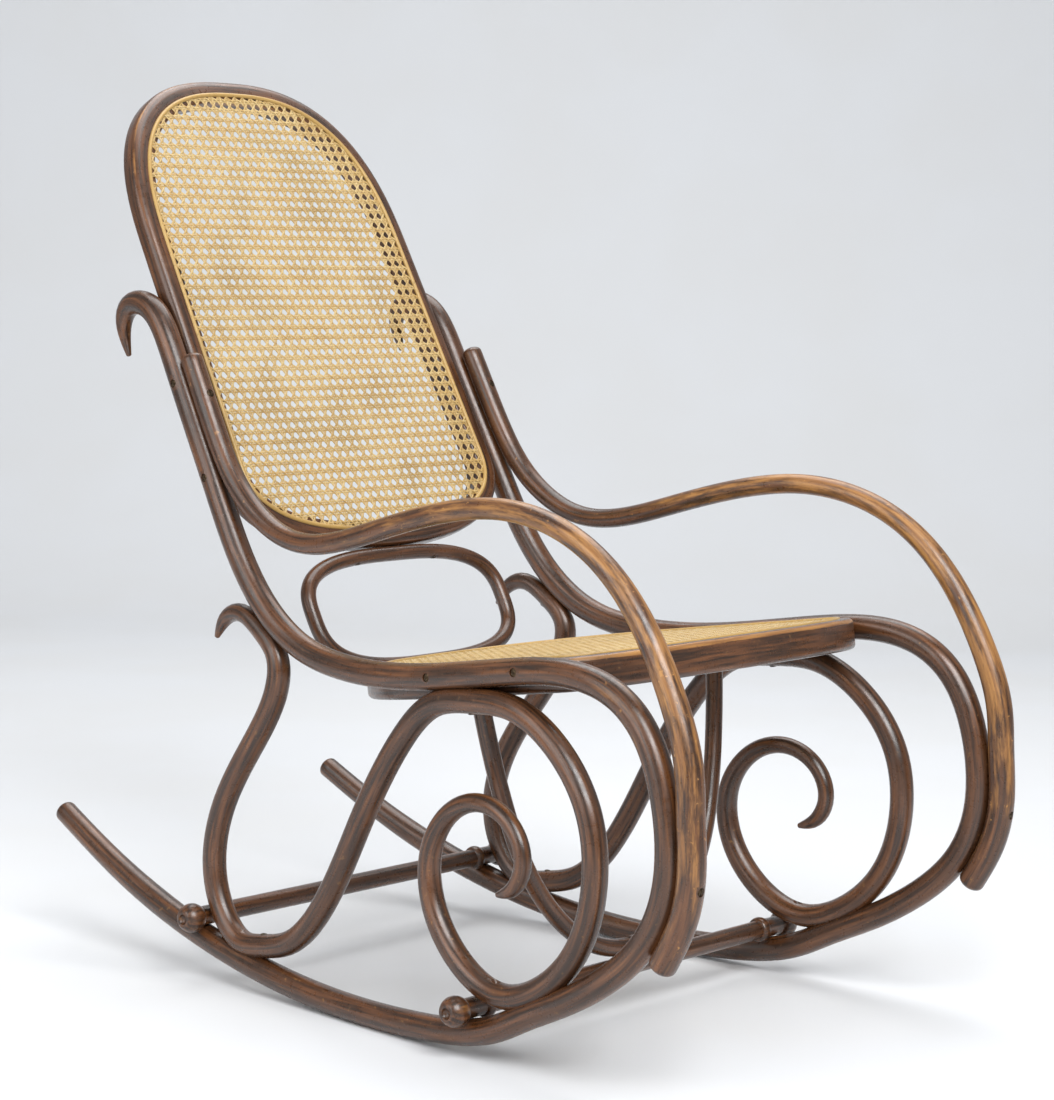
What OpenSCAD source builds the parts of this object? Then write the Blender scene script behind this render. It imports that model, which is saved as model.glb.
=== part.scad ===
// Bentwood rocking chair with a caned back and seat.
// Millimetres, +Z up, the sitter faces -Y, mirror plane X = 0.
// The origin is on the floor, in the middle of the chair's outline.

/* [Overall] */
// Length of the side frame, front of the arm to the rear tip of the rocker
frame_length = 969; // [780:1:1165]
// Height of the side frame, floor to the top of the hooks
frame_height = 744; // [600:1:890]
// Distance between the two rail centrelines, halfway along the seat
rail_spacing = 500; // [400:5:600]
// Toe-out of each side frame, wider at the front, in degrees
splay = 3.35; // [0:0.05:6]
// Radius of the arc that the rockers roll on
rocker_radius = 1060; // [850:5:1300]
// Angle the whole chair is rolled back on its rockers to stand in balance
lean_back = 2.3; // [0:0.1:6]

/* [Rods] */
// Diameter of the side rails
rail_d = 28; // [22:0.5:34]
// Diameter of the armrest where it lies on the back post
arm_top_d = 24; // [19:0.5:28]
// Diameter of the armrest at its dip and crest
arm_mid_d = 22; // [18:0.5:28]
// Diameter of the armrest at its foot
arm_foot_d = 28; // [22:0.5:34]
// Diameter of the scrolls
scroll_d = 26; // [21:0.5:32]
// Diameter of the last turn of the spiral, before its pointed tip
spiral_d = 18; // [12:0.5:24]
// Diameter of the tip of the hooks
hook_tip_d = 6; // [4:0.5:16]

/* [Back] */
// Height of the back frame
back_height = 590; // [480:2:720]
// Distance the back frame reaches below the reference point on the post
back_drop = 60; // [48:1:72]
// Width of the back frame's wooden ring
back_rim = 29; // [25:0.5:40]
// Thickness of the back frame, front to back
back_thick = 24; // [20:0.5:28]

/* [Seat] */
// Distance from the middle of the seat's side to its front edge
seat_front = 160; // [130:1:190]
// Width of the seat frame's wooden ring
seat_rim = 46; // [38:0.5:56]
// Thickness of the seat frame
seat_thick = 34; // [26:0.5:40]
// Height of the seat's top face above the rail centreline
seat_rise = 10; // [4:0.5:13]

/* [Caning] */
// Diameter of the reed spline that locks the cane into its groove
spline_d = 5; // [4:0.1:6]
// Distance from the frame's outer edge to the middle of the spline, back
back_spline_in = 20; // [14:0.5:24]
// Distance from the frame's outer edge to the middle of the spline, seat
seat_spline_in = 17; // [12:0.5:30]
// Thickness of the woven cane
cane_thick = 1.4; // [1:0.1:2.4]

/* [Lumbar ring] */
// Diameter of the ring's rod
ring_d = 17; // [13:0.5:21]
// Height of the ring along the slope of the back
ring_height = 148; // [125:1:175]
// Width of the ring
ring_width = 326; // [260:2:390]

/* [Stretchers and brace] */
// Diameter of the two stretchers
stretcher_d = 21; // [17:0.5:25]
// Diameter of the ball at each end of a stretcher
ball_d = 32; // [26:0.5:38]
// Distance from the rail centreline out to the middle of the ball
ball_out = 24; // [19:0.5:30]
// Diameter of the bead on the stretcher, inside the rocker
bead_d = 28; // [24:0.5:32]
// Diameter of the brace under the seat
brace_d = 19; // [15:0.5:23]

/* [Fasteners] */
// Shank diameter of the wood screws
screw_d = 4; // [3:0.1:6]
// Head diameter of the wood screws
screw_head_d = 8.4; // [7:0.1:11]
// Height of the screw head
screw_head_h = 2.4; // [1.5:0.1:4]

/* [Fits] */
// Gap between two pieces of wood that lie against each other
touch_gap = 0.2; // [0.1:0.05:0.5]
// Extra gap where two bent rods lie side by side
bend_gap = 0.2; // [0:0.05:0.5]
// Gap round a screw in its hole
screw_gap = 0.15; // [0.05:0.05:0.4]
// Gap between the spline and its groove
spline_gap = 0.1; // [0.05:0.05:0.3]

/* [Hidden] */

// ratio of the chosen frame size to the size the guide points are written for
kx = frame_length / 969;
kz = frame_height / 744;
rail_r = rail_d / 2;
arm_r = arm_top_d / 2;
foot_r = arm_foot_d / 2;
scroll_r = scroll_d / 2;
ring_r = ring_d / 2;
str_r = stretcher_d / 2;
brace_r = brace_d / 2;
// facets around a swept rod, and steps from one guide point to the next
around = 12;
steps = 3;

// ---- curves ------------------------------------------------------------
// a smooth curve through guide points: a cubic B-spline whose control points
// are pushed out by a sixth of the local bend, so that it meets the guides
function ends(p) = concat([2 * p[0] - p[1]], p, [2 * p[len(p) - 1] - p[len(p) - 2]]);
function pushed(e) = [for (i = [1:len(e) - 2]) e[i] - (e[i - 1] - 2 * e[i] + e[i + 1]) / 6];
function controls(p) = ends(pushed(ends(p)));
function blend(c, i, t) = ((1 - t) * (1 - t) * (1 - t) * c[i]
  + (3 * t * t * t - 6 * t * t + 4) * c[i + 1]
  + (3 * t * t - 3 * t * t * t + 3 * t + 1) * c[i + 2]
  + t * t * t * c[i + 3]) / 6;
function slope_of(c, i, t) = (-(1 - t) * (1 - t) * c[i]
  + (3 * t * t - 4 * t) * c[i + 1]
  + (2 * t - 3 * t * t + 1) * c[i + 2]
  + t * t * c[i + 3]) / 2;
function span_of(c, u) = min(floor(u), len(c) - 4);
function curve_at(c, u) = blend(c, span_of(c, u), u - span_of(c, u));
function tangent_at(c, u) = unit(slope_of(c, span_of(c, u), u - span_of(c, u)));
function unit(v) = v / norm(v);
function side_of(t) = [-t[1], t[0]];
function mix(a, b, t) = a + (b - a) * t;
function ease(t) = t <= 0 ? 0 : t >= 1 ? 1 : t * t * (3 - 2 * t);

// ---- side rail: hook, back post, seat rail, front bow and rocker ------
// guide points in the side frame: distance towards the rear, height of the
// centreline above the lowest point of the rocker's centreline
rocker_mid = -28 * kx;
// rolls a point of the side frame back about the middle of the rocker's arc
function rest(p) = let (a = p[0] * kx - rocker_mid, b = p[1] * kz - rocker_radius)
  [rocker_mid + a * cos(lean_back) + b * sin(lean_back),
    rocker_radius - a * sin(lean_back) + b * cos(lean_back)];
rail_top = [for (p = [
  [392, 675], [401, 708], [387, 731], [356, 729],
  [331, 706], [308, 662], [278, 603], [245, 539],
  [211, 473], [169, 416], [116, 377], [57, 360],
  [-8, 355], [-74, 358], [-141, 366], [-209, 375],
  [-275, 379], [-335, 366], [-380, 327], [-403, 262],
  [-405, 193], [-380, 135], [-332, 92], [-275, 59],
  [-218, 35]]) rest(p)];
rocker_from = -7 * kx * 1060 / rocker_radius - lean_back;
rocker_step = 5.4 * kx * 1060 / rocker_radius;
rocker = [for (i = [0:7]) [
  rocker_mid + rocker_radius * sin(rocker_from + i * rocker_step),
  rocker_radius * (1 - cos(rocker_from + i * rocker_step))]];
rail_guides = concat(rail_top, rocker);
rail_c = controls(rail_guides);
rail_end = len(rail_guides) - 1;
// a point beside the rail: positive is below the seat and inside the loop
function beside(u, d) = curve_at(rail_c, u) + d * side_of(tangent_at(rail_c, u));

// ---- armrest -----------------------------------------------------------
arm_gap_top = rail_r + arm_r + touch_gap + bend_gap;
arm_gap_foot = rail_r + foot_r + touch_gap + bend_gap;
arm_free = [for (p = [
  [210, 540], [167, 503], [114, 483], [51, 487],
  [-22, 506], [-103, 525], [-185, 533], [-262, 519],
  [-326, 484], [-374, 432], [-408, 371], [-430, 312]]) rest(p)];
arm_guides = concat(
  [for (u = [5.05, 5.75, 6.45]) beside(u, -arm_gap_top)],
  arm_free,
  [for (u = [19.1, 19.75, 20.4, 21.05]) beside(u, -arm_gap_foot)]);
arm_c = controls(arm_guides);
arm_end = len(arm_guides) - 1;

// ---- scroll ------------------------------------------------------------
scroll_hook_r = 0.77 * scroll_r;
spiral_from = 26;
spiral_steps = 8;
scroll_gap = rail_r + scroll_r + touch_gap + bend_gap;
scroll_hook_gap = rail_r + scroll_radius(3) + touch_gap + bend_gap;
scroll_hook = [for (p = [[244, 374], [229, 395], [201, 403]]) rest(p)];
scroll_rear = [for (p = [
  [144, 357], [153, 310], [192, 255], [234, 194],
  [252, 130], [239, 78], [208, 45]]) rest(p)];
scroll_rise = [for (p = [
  [126, 56], [82, 94], [42, 154], [3, 224],
  [-43, 289], [-90, 332]]) rest(p)];
scroll_front = [for (p = [
  [-205, 339], [-263, 305], [-304, 249], [-312, 180],
  [-292, 115], [-247, 70]]) rest(p)];
scroll_spiral = [for (p = [
  [-130, 75], [-92, 125], [-87, 183], [-118, 227], [-164, 240],
  [-203, 221], [-217, 187], [-204, 160], [-182, 151]]) rest(p)];
scroll_guides = concat(
  scroll_hook, [beside(9.3, scroll_hook_gap)],
  scroll_rear, [beside(28.36, scroll_gap)],
  scroll_rise, [beside(14, scroll_gap)],
  scroll_front, [beside(24.35, scroll_gap)],
  scroll_spiral);
scroll_c = controls(scroll_guides);
scroll_end = len(scroll_guides) - 1;

// ---- placing: the side frame's plane in the chair's axes ---------------
// half the distance between the rail centrelines, halfway along the seat
half_at_mid = rail_spacing / 2;
mid_seat = rest([-107, 369])[0];
// middle of the outline along Y: from the front of the arms to whichever
// reaches further back, the rockers' tips or the top of the back
front_most = min([for (i = [0:arm_end * 2]) curve_at(arm_c, i / 2)[0]]) - foot_r;
post_dir = unit(curve_at(rail_c, 5.4) - curve_at(rail_c, 7.4));
rear_most = max(curve_at(rail_c, rail_end)[0] + rail_r * 0.5,
  curve_at(rail_c, 7.4)[0] + post_dir[0] * (back_height - back_drop * kz) + back_thick * 0.4);
mid_y = (front_most + rear_most) / 2 * cos(splay);
function half_at(s) = half_at_mid - (s - mid_seat) * sin(splay);
// a point of the right-hand (+X) side frame in the chair's axes; out is the
// distance outwards from the frame's plane
function place(p, out = 0) = [
  half_at(p[0]) + out * cos(splay),
  p[0] * cos(splay) - mid_y + out * sin(splay),
  p[1] + rail_r];
function place_y(s) = s * cos(splay) - mid_y;
// half distance between the rails at a given Y of the chair
function half_at_y(y) = half_at((y + mid_y) / cos(splay));

// ---- back --------------------------------------------------------------
post_low = curve_at(rail_c, 7.4);
post_high = curve_at(rail_c, 5.4);
back_ref = [0, place_y(post_low[0]), post_low[1] + rail_r];
back_up = unit([0, (post_high[0] - post_low[0]) * cos(splay), post_high[1] - post_low[1]]);
back_front = [0, -back_up[2], back_up[1]];
function on_back(x, v, w = 0) = back_ref + [x, 0, 0] + v * back_up + w * back_front;
back_bottom = -back_drop * kz;
back_top = back_bottom + back_height;
function back_half(v) = half_at_y(back_ref[1] + v * back_up[1])
  - rail_r / cos(splay) - touch_gap;

// a closed outline in a plane: straight sides that follow the rails, with
// a superellipse cap at each end; inset moves it inwards
function cap(a, b, n, q) = [
  a * sign(cos(q)) * pow(abs(cos(q)), 2 / n),
  b * sign(sin(q)) * pow(abs(sin(q)), 2 / n)];
cap_steps = 16;
back_cap_top = 212;
back_cap_low = 106;
function back_outline(inset) = concat(
  [for (i = [0:cap_steps])
    let (v0 = back_top - back_cap_top,
      c = cap(1, back_cap_top - inset, 2.6, 180 * i / cap_steps))
    [c[0] * (back_half(v0 + c[1]) - inset), v0 + c[1]]],
  [for (j = [1:4])
    let (v = mix(back_top - back_cap_top, back_bottom + back_cap_low, j / 5))
    [-(back_half(v) - inset), v]],
  [for (i = [0:cap_steps])
    let (v0 = back_bottom + back_cap_low,
      c = cap(1, back_cap_low - inset, 2.5, 180 + 180 * i / cap_steps))
    [c[0] * (back_half(v0 + c[1]) - inset), v0 + c[1]]],
  [for (j = [1:4])
    let (v = mix(back_bottom + back_cap_low, back_top - back_cap_top, j / 5))
    [back_half(v) - inset, v]]);

// ---- lumbar ring -------------------------------------------------------
ring_mid = back_bottom - touch_gap - ring_height / 2;
ring_low = ring_mid - ring_height / 2 + ring_r;
function ring_path(q) = cap(ring_width / 2 - ring_r, ring_height / 2 - ring_r, 3, q);

// ---- seat --------------------------------------------------------------
seat_a = curve_at(rail_c, 13);
seat_b = curve_at(rail_c, 15);
seat_fwd = unit([0, (seat_b[0] - seat_a[0]) * cos(splay), seat_b[1] - seat_a[1]]);
seat_up = [0, seat_fwd[2], -seat_fwd[1]];
seat_ref = [0, place_y((seat_a[0] + seat_b[0]) / 2), (seat_a[1] + seat_b[1]) / 2 + rail_r]
  + seat_rise * seat_up;
// t runs towards the front, h is above the seat's top face
function on_seat(x, t, h = 0) = seat_ref + [x, 0, 0] + t * seat_fwd + h * seat_up;
// the rear edge stops against the lumbar ring's lower run
ring_foot = on_back(0, ring_low);
seat_rear = -((ring_foot - seat_ref) * seat_fwd) - ring_r - touch_gap;
function seat_half(t) = half_at_y(seat_ref[1] + t * seat_fwd[1])
  - rail_r / cos(splay) - touch_gap;
seat_cap_front = 60;
seat_cap_rear = 0.56 * (seat_rear + seat_front);
function seat_outline(inset) = concat(
  [for (i = [0:cap_steps])
    let (t0 = seat_front - seat_cap_front,
      c = cap(1, seat_cap_front - inset, 2.6, 180 * i / cap_steps))
    [c[0] * (seat_half(t0 + c[1]) - inset), t0 + c[1]]],
  [for (j = [1:2])
    let (t = mix(seat_front - seat_cap_front, seat_cap_rear - seat_rear, j / 3))
    [-(seat_half(t) - inset), t]],
  [for (i = [0:cap_steps])
    let (t0 = seat_cap_rear - seat_rear,
      c = cap(1, seat_cap_rear - inset, 2.4, 180 + 180 * i / cap_steps))
    [c[0] * (seat_half(t0) - inset), t0 + c[1]]],
  [for (j = [1:2])
    let (t = mix(seat_cap_rear - seat_rear, seat_front - seat_cap_front, j / 3))
    [seat_half(t) - inset, t]]);

// ---- stretchers and brace ---------------------------------------------
front_u = 25.07;
rear_u = 29.32;
function stretcher_axis(u) = beside(u, rail_r + str_r + touch_gap);
front_axis = stretcher_axis(front_u);
rear_axis = stretcher_axis(rear_u);
function stretcher_half(p) = half_at(p[0]) + ball_out;
brace_foot = [0, place_y(front_axis[0]), front_axis[1] + rail_r]
  + (str_r + brace_r + touch_gap) * seat_up;
brace_rise = (seat_ref - brace_foot) * seat_up - seat_thick - touch_gap;
brace_top_t = (brace_foot - seat_ref) * seat_fwd;
brace_half = seat_half(brace_top_t) - seat_rim + 7;
brace_guides = [for (p = [
  [1, 1], [0.97, 0.86], [0.925, 0.7], [0.865, 0.54],
  [0.78, 0.38], [0.65, 0.235], [0.47, 0.11], [0.24, 0.025],
  [0, 0]]) [p[0] * brace_half, p[1] * brace_rise]];
brace_all = concat(brace_guides,
  [for (i = [len(brace_guides) - 2:-1:0]) [-brace_guides[i][0], brace_guides[i][1]]]);
brace_c = controls(brace_all);
brace_end = len(brace_all) - 1;
function on_brace(p, out = 0) = brace_foot + [p[0], 0, 0] + p[1] * seat_up + out * seat_fwd;

// ---- solids from sections ---------------------------------------------
// joins rings of points into one closed solid; both ends are capped
module skin_open(rings) {
  n = len(rings[0]);
  m = len(rings);
  pts = concat([for (r = rings) for (p = r) p],
    [centre(rings[0]), centre(rings[m - 1])]);
  faces = concat(
    [for (i = [0:m - 2]) for (j = [0:n - 1]) [i * n + j, (i + 1) * n + j, i * n + (j + 1) % n]],
    [for (i = [0:m - 2]) for (j = [0:n - 1])
      [i * n + (j + 1) % n, (i + 1) * n + j, (i + 1) * n + (j + 1) % n]],
    [for (j = [0:n - 1]) [m * n, j, (j + 1) % n]],
    [for (j = [0:n - 1]) [m * n + 1, (m - 1) * n + (j + 1) % n, (m - 1) * n + j]]);
  polyhedron(pts, faces, convexity = 8);
}
// joins rings of points into one closed loop
module skin_loop(rings) {
  n = len(rings[0]);
  m = len(rings);
  pts = [for (r = rings) for (p = r) p];
  faces = concat(
    [for (i = [0:m - 1]) for (j = [0:n - 1])
      [i * n + j, ((i + 1) % m) * n + j, i * n + (j + 1) % n]],
    [for (i = [0:m - 1]) for (j = [0:n - 1])
      [i * n + (j + 1) % n, ((i + 1) % m) * n + j, ((i + 1) % m) * n + (j + 1) % n]]);
  polyhedron(pts, faces, convexity = 8);
}
function centre(r) = [for (k = [0:2]) sum([for (p = r) p[k]]) / len(r)];
function sum(v, i = 0) = i < len(v) ? v[i] + sum(v, i + 1) : 0;

// one round section of a rod that bends in the side frame's plane
function rod_ring(c, u, r) = let (p = curve_at(c, u), s = side_of(tangent_at(c, u)))
  [for (k = [0:around - 1]) place(p + r * cos(k * 360 / around) * s,
    r * sin(k * 360 / around))];
// a rod along guide points, with rounded ends; radius(u) is chosen by kind
module side_rod(c, last, kind) {
  us = [for (i = [0:last * steps]) i / steps];
  r0 = rod_radius(kind, 0);
  r1 = rod_radius(kind, last);
  t0 = tangent_at(c, 0);
  t1 = tangent_at(c, last);
  tip0 = [for (q = [70, 35]) let (p = curve_at(c, 0) - r0 * 0.6 * sin(q) * t0)
    [for (k = [0:around - 1]) place(p + r0 * cos(q) * cos(k * 360 / around) * side_of(t0),
      r0 * cos(q) * sin(k * 360 / around))]];
  tip1 = [for (q = [35, 70]) let (p = curve_at(c, last) + r1 * 0.6 * sin(q) * t1)
    [for (k = [0:around - 1]) place(p + r1 * cos(q) * cos(k * 360 / around) * side_of(t1),
      r1 * cos(q) * sin(k * 360 / around))]];
  skin_open(concat(tip0, [for (u = us) rod_ring(c, u, rod_radius(kind, u))], tip1));
}
function rod_radius(kind, u) =
  kind == 0 ? rail_radius(u) : kind == 1 ? arm_radius(u) : scroll_radius(u);
function swell(t) = t <= 0 ? 0 : t >= 1 ? 1 : t * (2 - t);
function rail_radius(u) = mix(hook_tip_d / 2, rail_r, swell(u / 3.2))
  * mix(1, 0.9, ease((u - rail_end + 2) / 2));
function arm_radius(u) = mix(mix(arm_r, arm_mid_d / 2, ease((u - 2.5) / 3)),
  foot_r, ease((u - 9.5) / 5));
// the scroll swells from a pointed hook, and ends in a pointed curl
function scroll_radius(u) = u < spiral_from
  ? mix(mix(hook_tip_d / 2, scroll_hook_r, swell(u / 2)), scroll_r, ease((u - 2) / 3))
  : mix(hook_tip_d / 2, mix(scroll_r, spiral_d / 2, ease((u - spiral_from) / 5)),
    swell((spiral_from + spiral_steps - u) / 1.6));

// rounding of the outer front edge of the back frame and the seat frame
back_edge = 9;
seat_edge = 6;
// frame section: a rounded bar with a groove for the spline in its face;
// pairs of inset from the outer edge and height above the face
function bar(rim, thick, at, edge) = [
  [0, -edge], [0.29 * edge, -0.29 * edge], [edge, 0],
  [at - spline_d / 2 - spline_gap, 0],
  [at - spline_d / 2 - spline_gap, -spline_d * 0.6],
  [at + spline_d / 2 + spline_gap, -spline_d * 0.6],
  [at + spline_d / 2 + spline_gap, -cane_thick],
  [rim, -cane_thick], [rim, 3 - thick], [rim - 3, -thick],
  [6, -thick], [1.8, 1.8 - thick], [0, 6 - thick]];
function frame_rings(kind, rim, thick, at) =
  let (b = bar(rim, thick, at, kind == 0 ? back_edge : seat_edge),
    o = [for (p = b) frame_outline(kind, p[0])])
  [for (i = [0:len(o[0]) - 1]) [for (k = [0:len(b) - 1]) frame_point(kind, o[k][i], b[k][1])]];
function frame_outline(kind, inset) = kind == 0 ? back_outline(inset) : seat_outline(inset);
function frame_point(kind, q, h) = kind == 0
  ? on_back(q[0], q[1], h + back_thick / 2) : on_seat(q[0], q[1], h);
module cane_sheet(kind, inset) {
  o = frame_outline(kind, inset);
  skin_open([[for (q = o) frame_point(kind, q, -cane_thick + 0.05)],
    [for (q = o) frame_point(kind, q, 0)]]);
}
module spline_loop(kind, at) {
  o = frame_outline(kind, at);
  n = len(o);
  r = spline_d / 2;
  skin_loop([for (i = [0:n - 1])
    let (d = unit(o[(i + 1) % n] - o[(i + n - 1) % n]), s = side_of(d))
    [for (k = [0:7]) frame_point(kind, o[i] + r * cos(k * 45) * s,
      r * sin(k * 45) - spline_d * 0.6 + r + 0.05)]]);
}

// ---- fasteners and tenons ----------------------------------------------
// each entry: point on the wood's surface, direction driven, length
function in_frame(p, d, len) = let (a = place(p), b = place(p + d)) [a, unit(b - a), len];
arm_screw_list = [
  let (u = 5.75, s = side_of(tangent_at(rail_c, u)))
    in_frame(beside(u, -rail_r - touch_gap - bend_gap - arm_top_d), s, arm_top_d + 11),
  let (u = 19.95, s = side_of(tangent_at(rail_c, u)))
    in_frame(beside(u, -rail_r - touch_gap - bend_gap - arm_foot_d), s, arm_foot_d + 12)];
scroll_screw_list = [
  for (q = [[9.3, 2 * scroll_radius(3)], [14, scroll_d], [24.35, scroll_d], [28.36, scroll_d]])
  let (s = side_of(tangent_at(rail_c, q[0])))
  in_frame(beside(q[0], rail_r + touch_gap + bend_gap + q[1]), -s, q[1] + 11)];
back_screw_list = [for (u = [5.3, 6.9])
  [place(curve_at(rail_c, u), rail_r), -out_dir(), rail_d + 17]];
seat_screw_list = [for (u = [13.3, 15.1])
  [place(curve_at(rail_c, u), rail_r), -out_dir(), rail_d + 20]];
stretcher_screw_list = [for (u = [front_u, rear_u])
  let (s = side_of(tangent_at(rail_c, u)))
  in_frame(beside(u, -rail_r), s, rail_d + 12)];
ring_screw_x = 62;
ring_screw_drop = (ring_height / 2 - ring_r)
  * pow(1 - pow(ring_screw_x / (ring_width / 2 - ring_r), 3), 1 / 3);
ring_screw_list = [for (x = [-ring_screw_x, ring_screw_x])
  [on_back(x, ring_mid + ring_screw_drop - ring_r), back_up, ring_d + 16]];
ring_foot_screw_list = [for (x = [-45, 45])
  [on_back(x, ring_low) - ring_r * seat_fwd, seat_fwd, ring_d + 17]];
brace_screw_list = [[brace_foot + brace_r * seat_up, -seat_up, brace_d + 11]];
tenon_d = brace_d * 0.63;
tenon_len = 12;
tenon_list = [for (x = [-brace_half, brace_half])
  [on_brace([x, brace_rise]), seat_up, tenon_len]];
function out_dir() = unit(place([0, 0], 1) - place([0, 0]));

module aim(p, d) {
  b = acos(d[2]);
  c = atan2(d[1], d[0]);
  translate(p)
  rotate([0, b, c])
    children();
}
// a wood screw whose head sits in a flat-bottomed recess
module screw(s) {
  aim(s[0], s[1])
  rotate_extrude($fn = 24)
    polygon([[0, 1.2], [screw_head_d / 2 - 0.8, 1.2], [screw_head_d / 2, 2],
      [screw_head_d / 2, 1.2 + screw_head_h], [screw_d / 2, 1.2 + screw_head_h],
      [screw_d / 2, s[2] - 3], [0, s[2]]]);
}
module screw_hole(s) {
  aim(s[0], s[1])
  rotate_extrude($fn = 24)
    polygon([[0, -6], [screw_head_d / 2 + screw_gap, -6],
      [screw_head_d / 2 + screw_gap, 1.2 + screw_head_h],
      [screw_d / 2 + screw_gap, 1.2 + screw_head_h],
      [screw_d / 2 + screw_gap, s[2] - 2.6], [0, s[2] + 0.4]]);
}
module both_sides() {
  children();
  mirror([1, 0, 0])
    children();
}
module drill(list) {
  for (s = list)
    screw_hole(s);
}

// ---- finishes ----------------------------------------------------------
stain = [0.36, 0.2, 0.12];
stain_light = [0.5, 0.3, 0.17];
straw = [0.8, 0.7, 0.44];
reed = [0.79, 0.66, 0.38];
steel = [0.45, 0.43, 0.4];

// ---- one module per piece ----------------------------------------------
module rail_half() {
  difference() {
    side_rod(rail_c, rail_end, 0);
    drill(arm_screw_list);
    drill(scroll_screw_list);
    drill(back_screw_list);
    drill(seat_screw_list);
    drill(stretcher_screw_list);
  }
}
module arm_half() {
  difference() {
    side_rod(arm_c, arm_end, 1);
    drill(arm_screw_list);
  }
}
module scroll_half() {
  difference() {
    side_rod(scroll_c, scroll_end, 2);
    drill(scroll_screw_list);
  }
}
module side_rail_left() {
  color(stain)
    rail_half();
}
module side_rail_right() {
  color(stain)
  mirror([1, 0, 0])
    rail_half();
}
module armrest_left() {
  color(stain_light)
    arm_half();
}
module armrest_right() {
  color(stain_light)
  mirror([1, 0, 0])
    arm_half();
}
module scroll_left() {
  color(stain)
    scroll_half();
}
module scroll_right() {
  color(stain)
  mirror([1, 0, 0])
    scroll_half();
}
module back_frame() {
  color(stain)
  difference() {
    skin_loop(frame_rings(0, back_rim, back_thick, back_spline_in));
    both_sides()
      drill(back_screw_list);
    drill(ring_screw_list);
  }
}
module back_cane() {
  color(straw)
    cane_sheet(0, back_spline_in + spline_d / 2 + 5 * spline_gap);
}
module back_spline() {
  color(reed)
    spline_loop(0, back_spline_in);
}
module lumbar_ring() {
  color(stain)
  difference() {
    skin_loop([for (i = [0:47])
      let (a = ring_path(i * 7.5 - 3.75), b = ring_path(i * 7.5 + 3.75),
        p = ring_path(i * 7.5), s = side_of(unit(b - a)))
      [for (k = [0:around - 1])
        on_back(p[0] + ring_r * cos(k * 360 / around) * s[0],
          ring_mid + p[1] + ring_r * cos(k * 360 / around) * s[1],
          ring_r * sin(k * 360 / around))]]);
    drill(ring_screw_list);
    drill(ring_foot_screw_list);
  }
}
module seat_frame() {
  color(stain)
  difference() {
    skin_loop(frame_rings(1, seat_rim, seat_thick, seat_spline_in));
    both_sides()
      drill(seat_screw_list);
    drill(ring_foot_screw_list);
    for (s = tenon_list)
      aim(s[0], s[1])
      translate([0, 0, -1])
        cylinder(r = tenon_d / 2 + screw_gap, h = tenon_len + 2, $fn = 32);
  }
}
module seat_cane() {
  color(straw)
    cane_sheet(1, seat_spline_in + spline_d / 2 + 5 * spline_gap);
}
module seat_spline() {
  color(reed)
    spline_loop(1, seat_spline_in);
}
module seat_brace() {
  color(stain)
  difference() {
    union() {
      skin_open([for (i = [0:brace_end * 2])
        let (u = i / 2, p = curve_at(brace_c, u), s = side_of(tangent_at(brace_c, u)))
        [for (k = [0:around - 1])
          on_brace(p + brace_r * cos(k * 360 / around) * s,
            brace_r * sin(k * 360 / around))]]);
      for (s = tenon_list)
        aim(s[0], s[1])
        translate([0, 0, -4])
          cylinder(r = tenon_d / 2, h = tenon_len + 3, $fn = 32);
    }
    drill(brace_screw_list);
  }
}
// a turned bar along X: plain middle, bead, neck and a ball with a dimple
module stretcher(p) {
  half = stretcher_half(p);
  bead_at = half - ball_out - rail_r - 7;
  br = ball_d / 2;
  end_x = half + br * 0.84;
  profile = concat(
    [[0, 0], [str_r, 0], [str_r, bead_at - 7]],
    [for (q = [-60:30:60]) [str_r + (bead_d / 2 - str_r) * cos(q), bead_at + 6 * sin(q)]],
    [[str_r, bead_at + 7], [str_r, half - br * 0.75]],
    [for (q = [-40:16:56]) [br * cos(q), half + br * sin(q)]],
    [[br * 0.5, end_x], [br * 0.36, end_x], [br * 0.3, end_x - 3], [0, end_x - 4.5]]);
  translate([0, place_y(p[0]), p[1] + rail_r])
    both_sides()
      rotate([0, 90, 0])
      rotate_extrude($fn = 48)
        polygon(profile);
}
module front_stretcher() {
  color(stain)
  difference() {
    stretcher(front_axis);
    both_sides()
      drill([stretcher_screw_list[0]]);
    drill(brace_screw_list);
  }
}
module rear_stretcher() {
  color(stain)
  difference() {
    stretcher(rear_axis);
    both_sides()
      drill([stretcher_screw_list[1]]);
  }
}
module screws(list) {
  color(steel)
  for (s = list)
    screw(s);
}
module arm_screws() {
  both_sides()
    screws(arm_screw_list);
}
module scroll_screws() {
  both_sides()
    screws(scroll_screw_list);
}
module back_frame_screws() {
  both_sides()
    screws(back_screw_list);
}
module lumbar_ring_screws() {
  screws(concat(ring_screw_list, ring_foot_screw_list));
}
module seat_frame_screws() {
  both_sides()
    screws(seat_screw_list);
}
module stretcher_screws() {
  both_sides()
    screws(stretcher_screw_list);
}
module brace_screws() {
  screws(brace_screw_list);
}

side_rail_left();
side_rail_right();
armrest_left();
armrest_right();
scroll_left();
scroll_right();
back_frame();
back_cane();
back_spline();
lumbar_ring();
seat_frame();
seat_cane();
seat_spline();
seat_brace();
front_stretcher();
rear_stretcher();
arm_screws();
scroll_screws();
back_frame_screws();
lumbar_ring_screws();
seat_frame_screws();
stretcher_screws();
brace_screws();
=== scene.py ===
"""Looks of the bentwood rocking chair: round bent rods, woven cane, reed splines and screws."""

import math

import bpy
import numpy as np
from mathutils import Matrix, Vector


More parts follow.
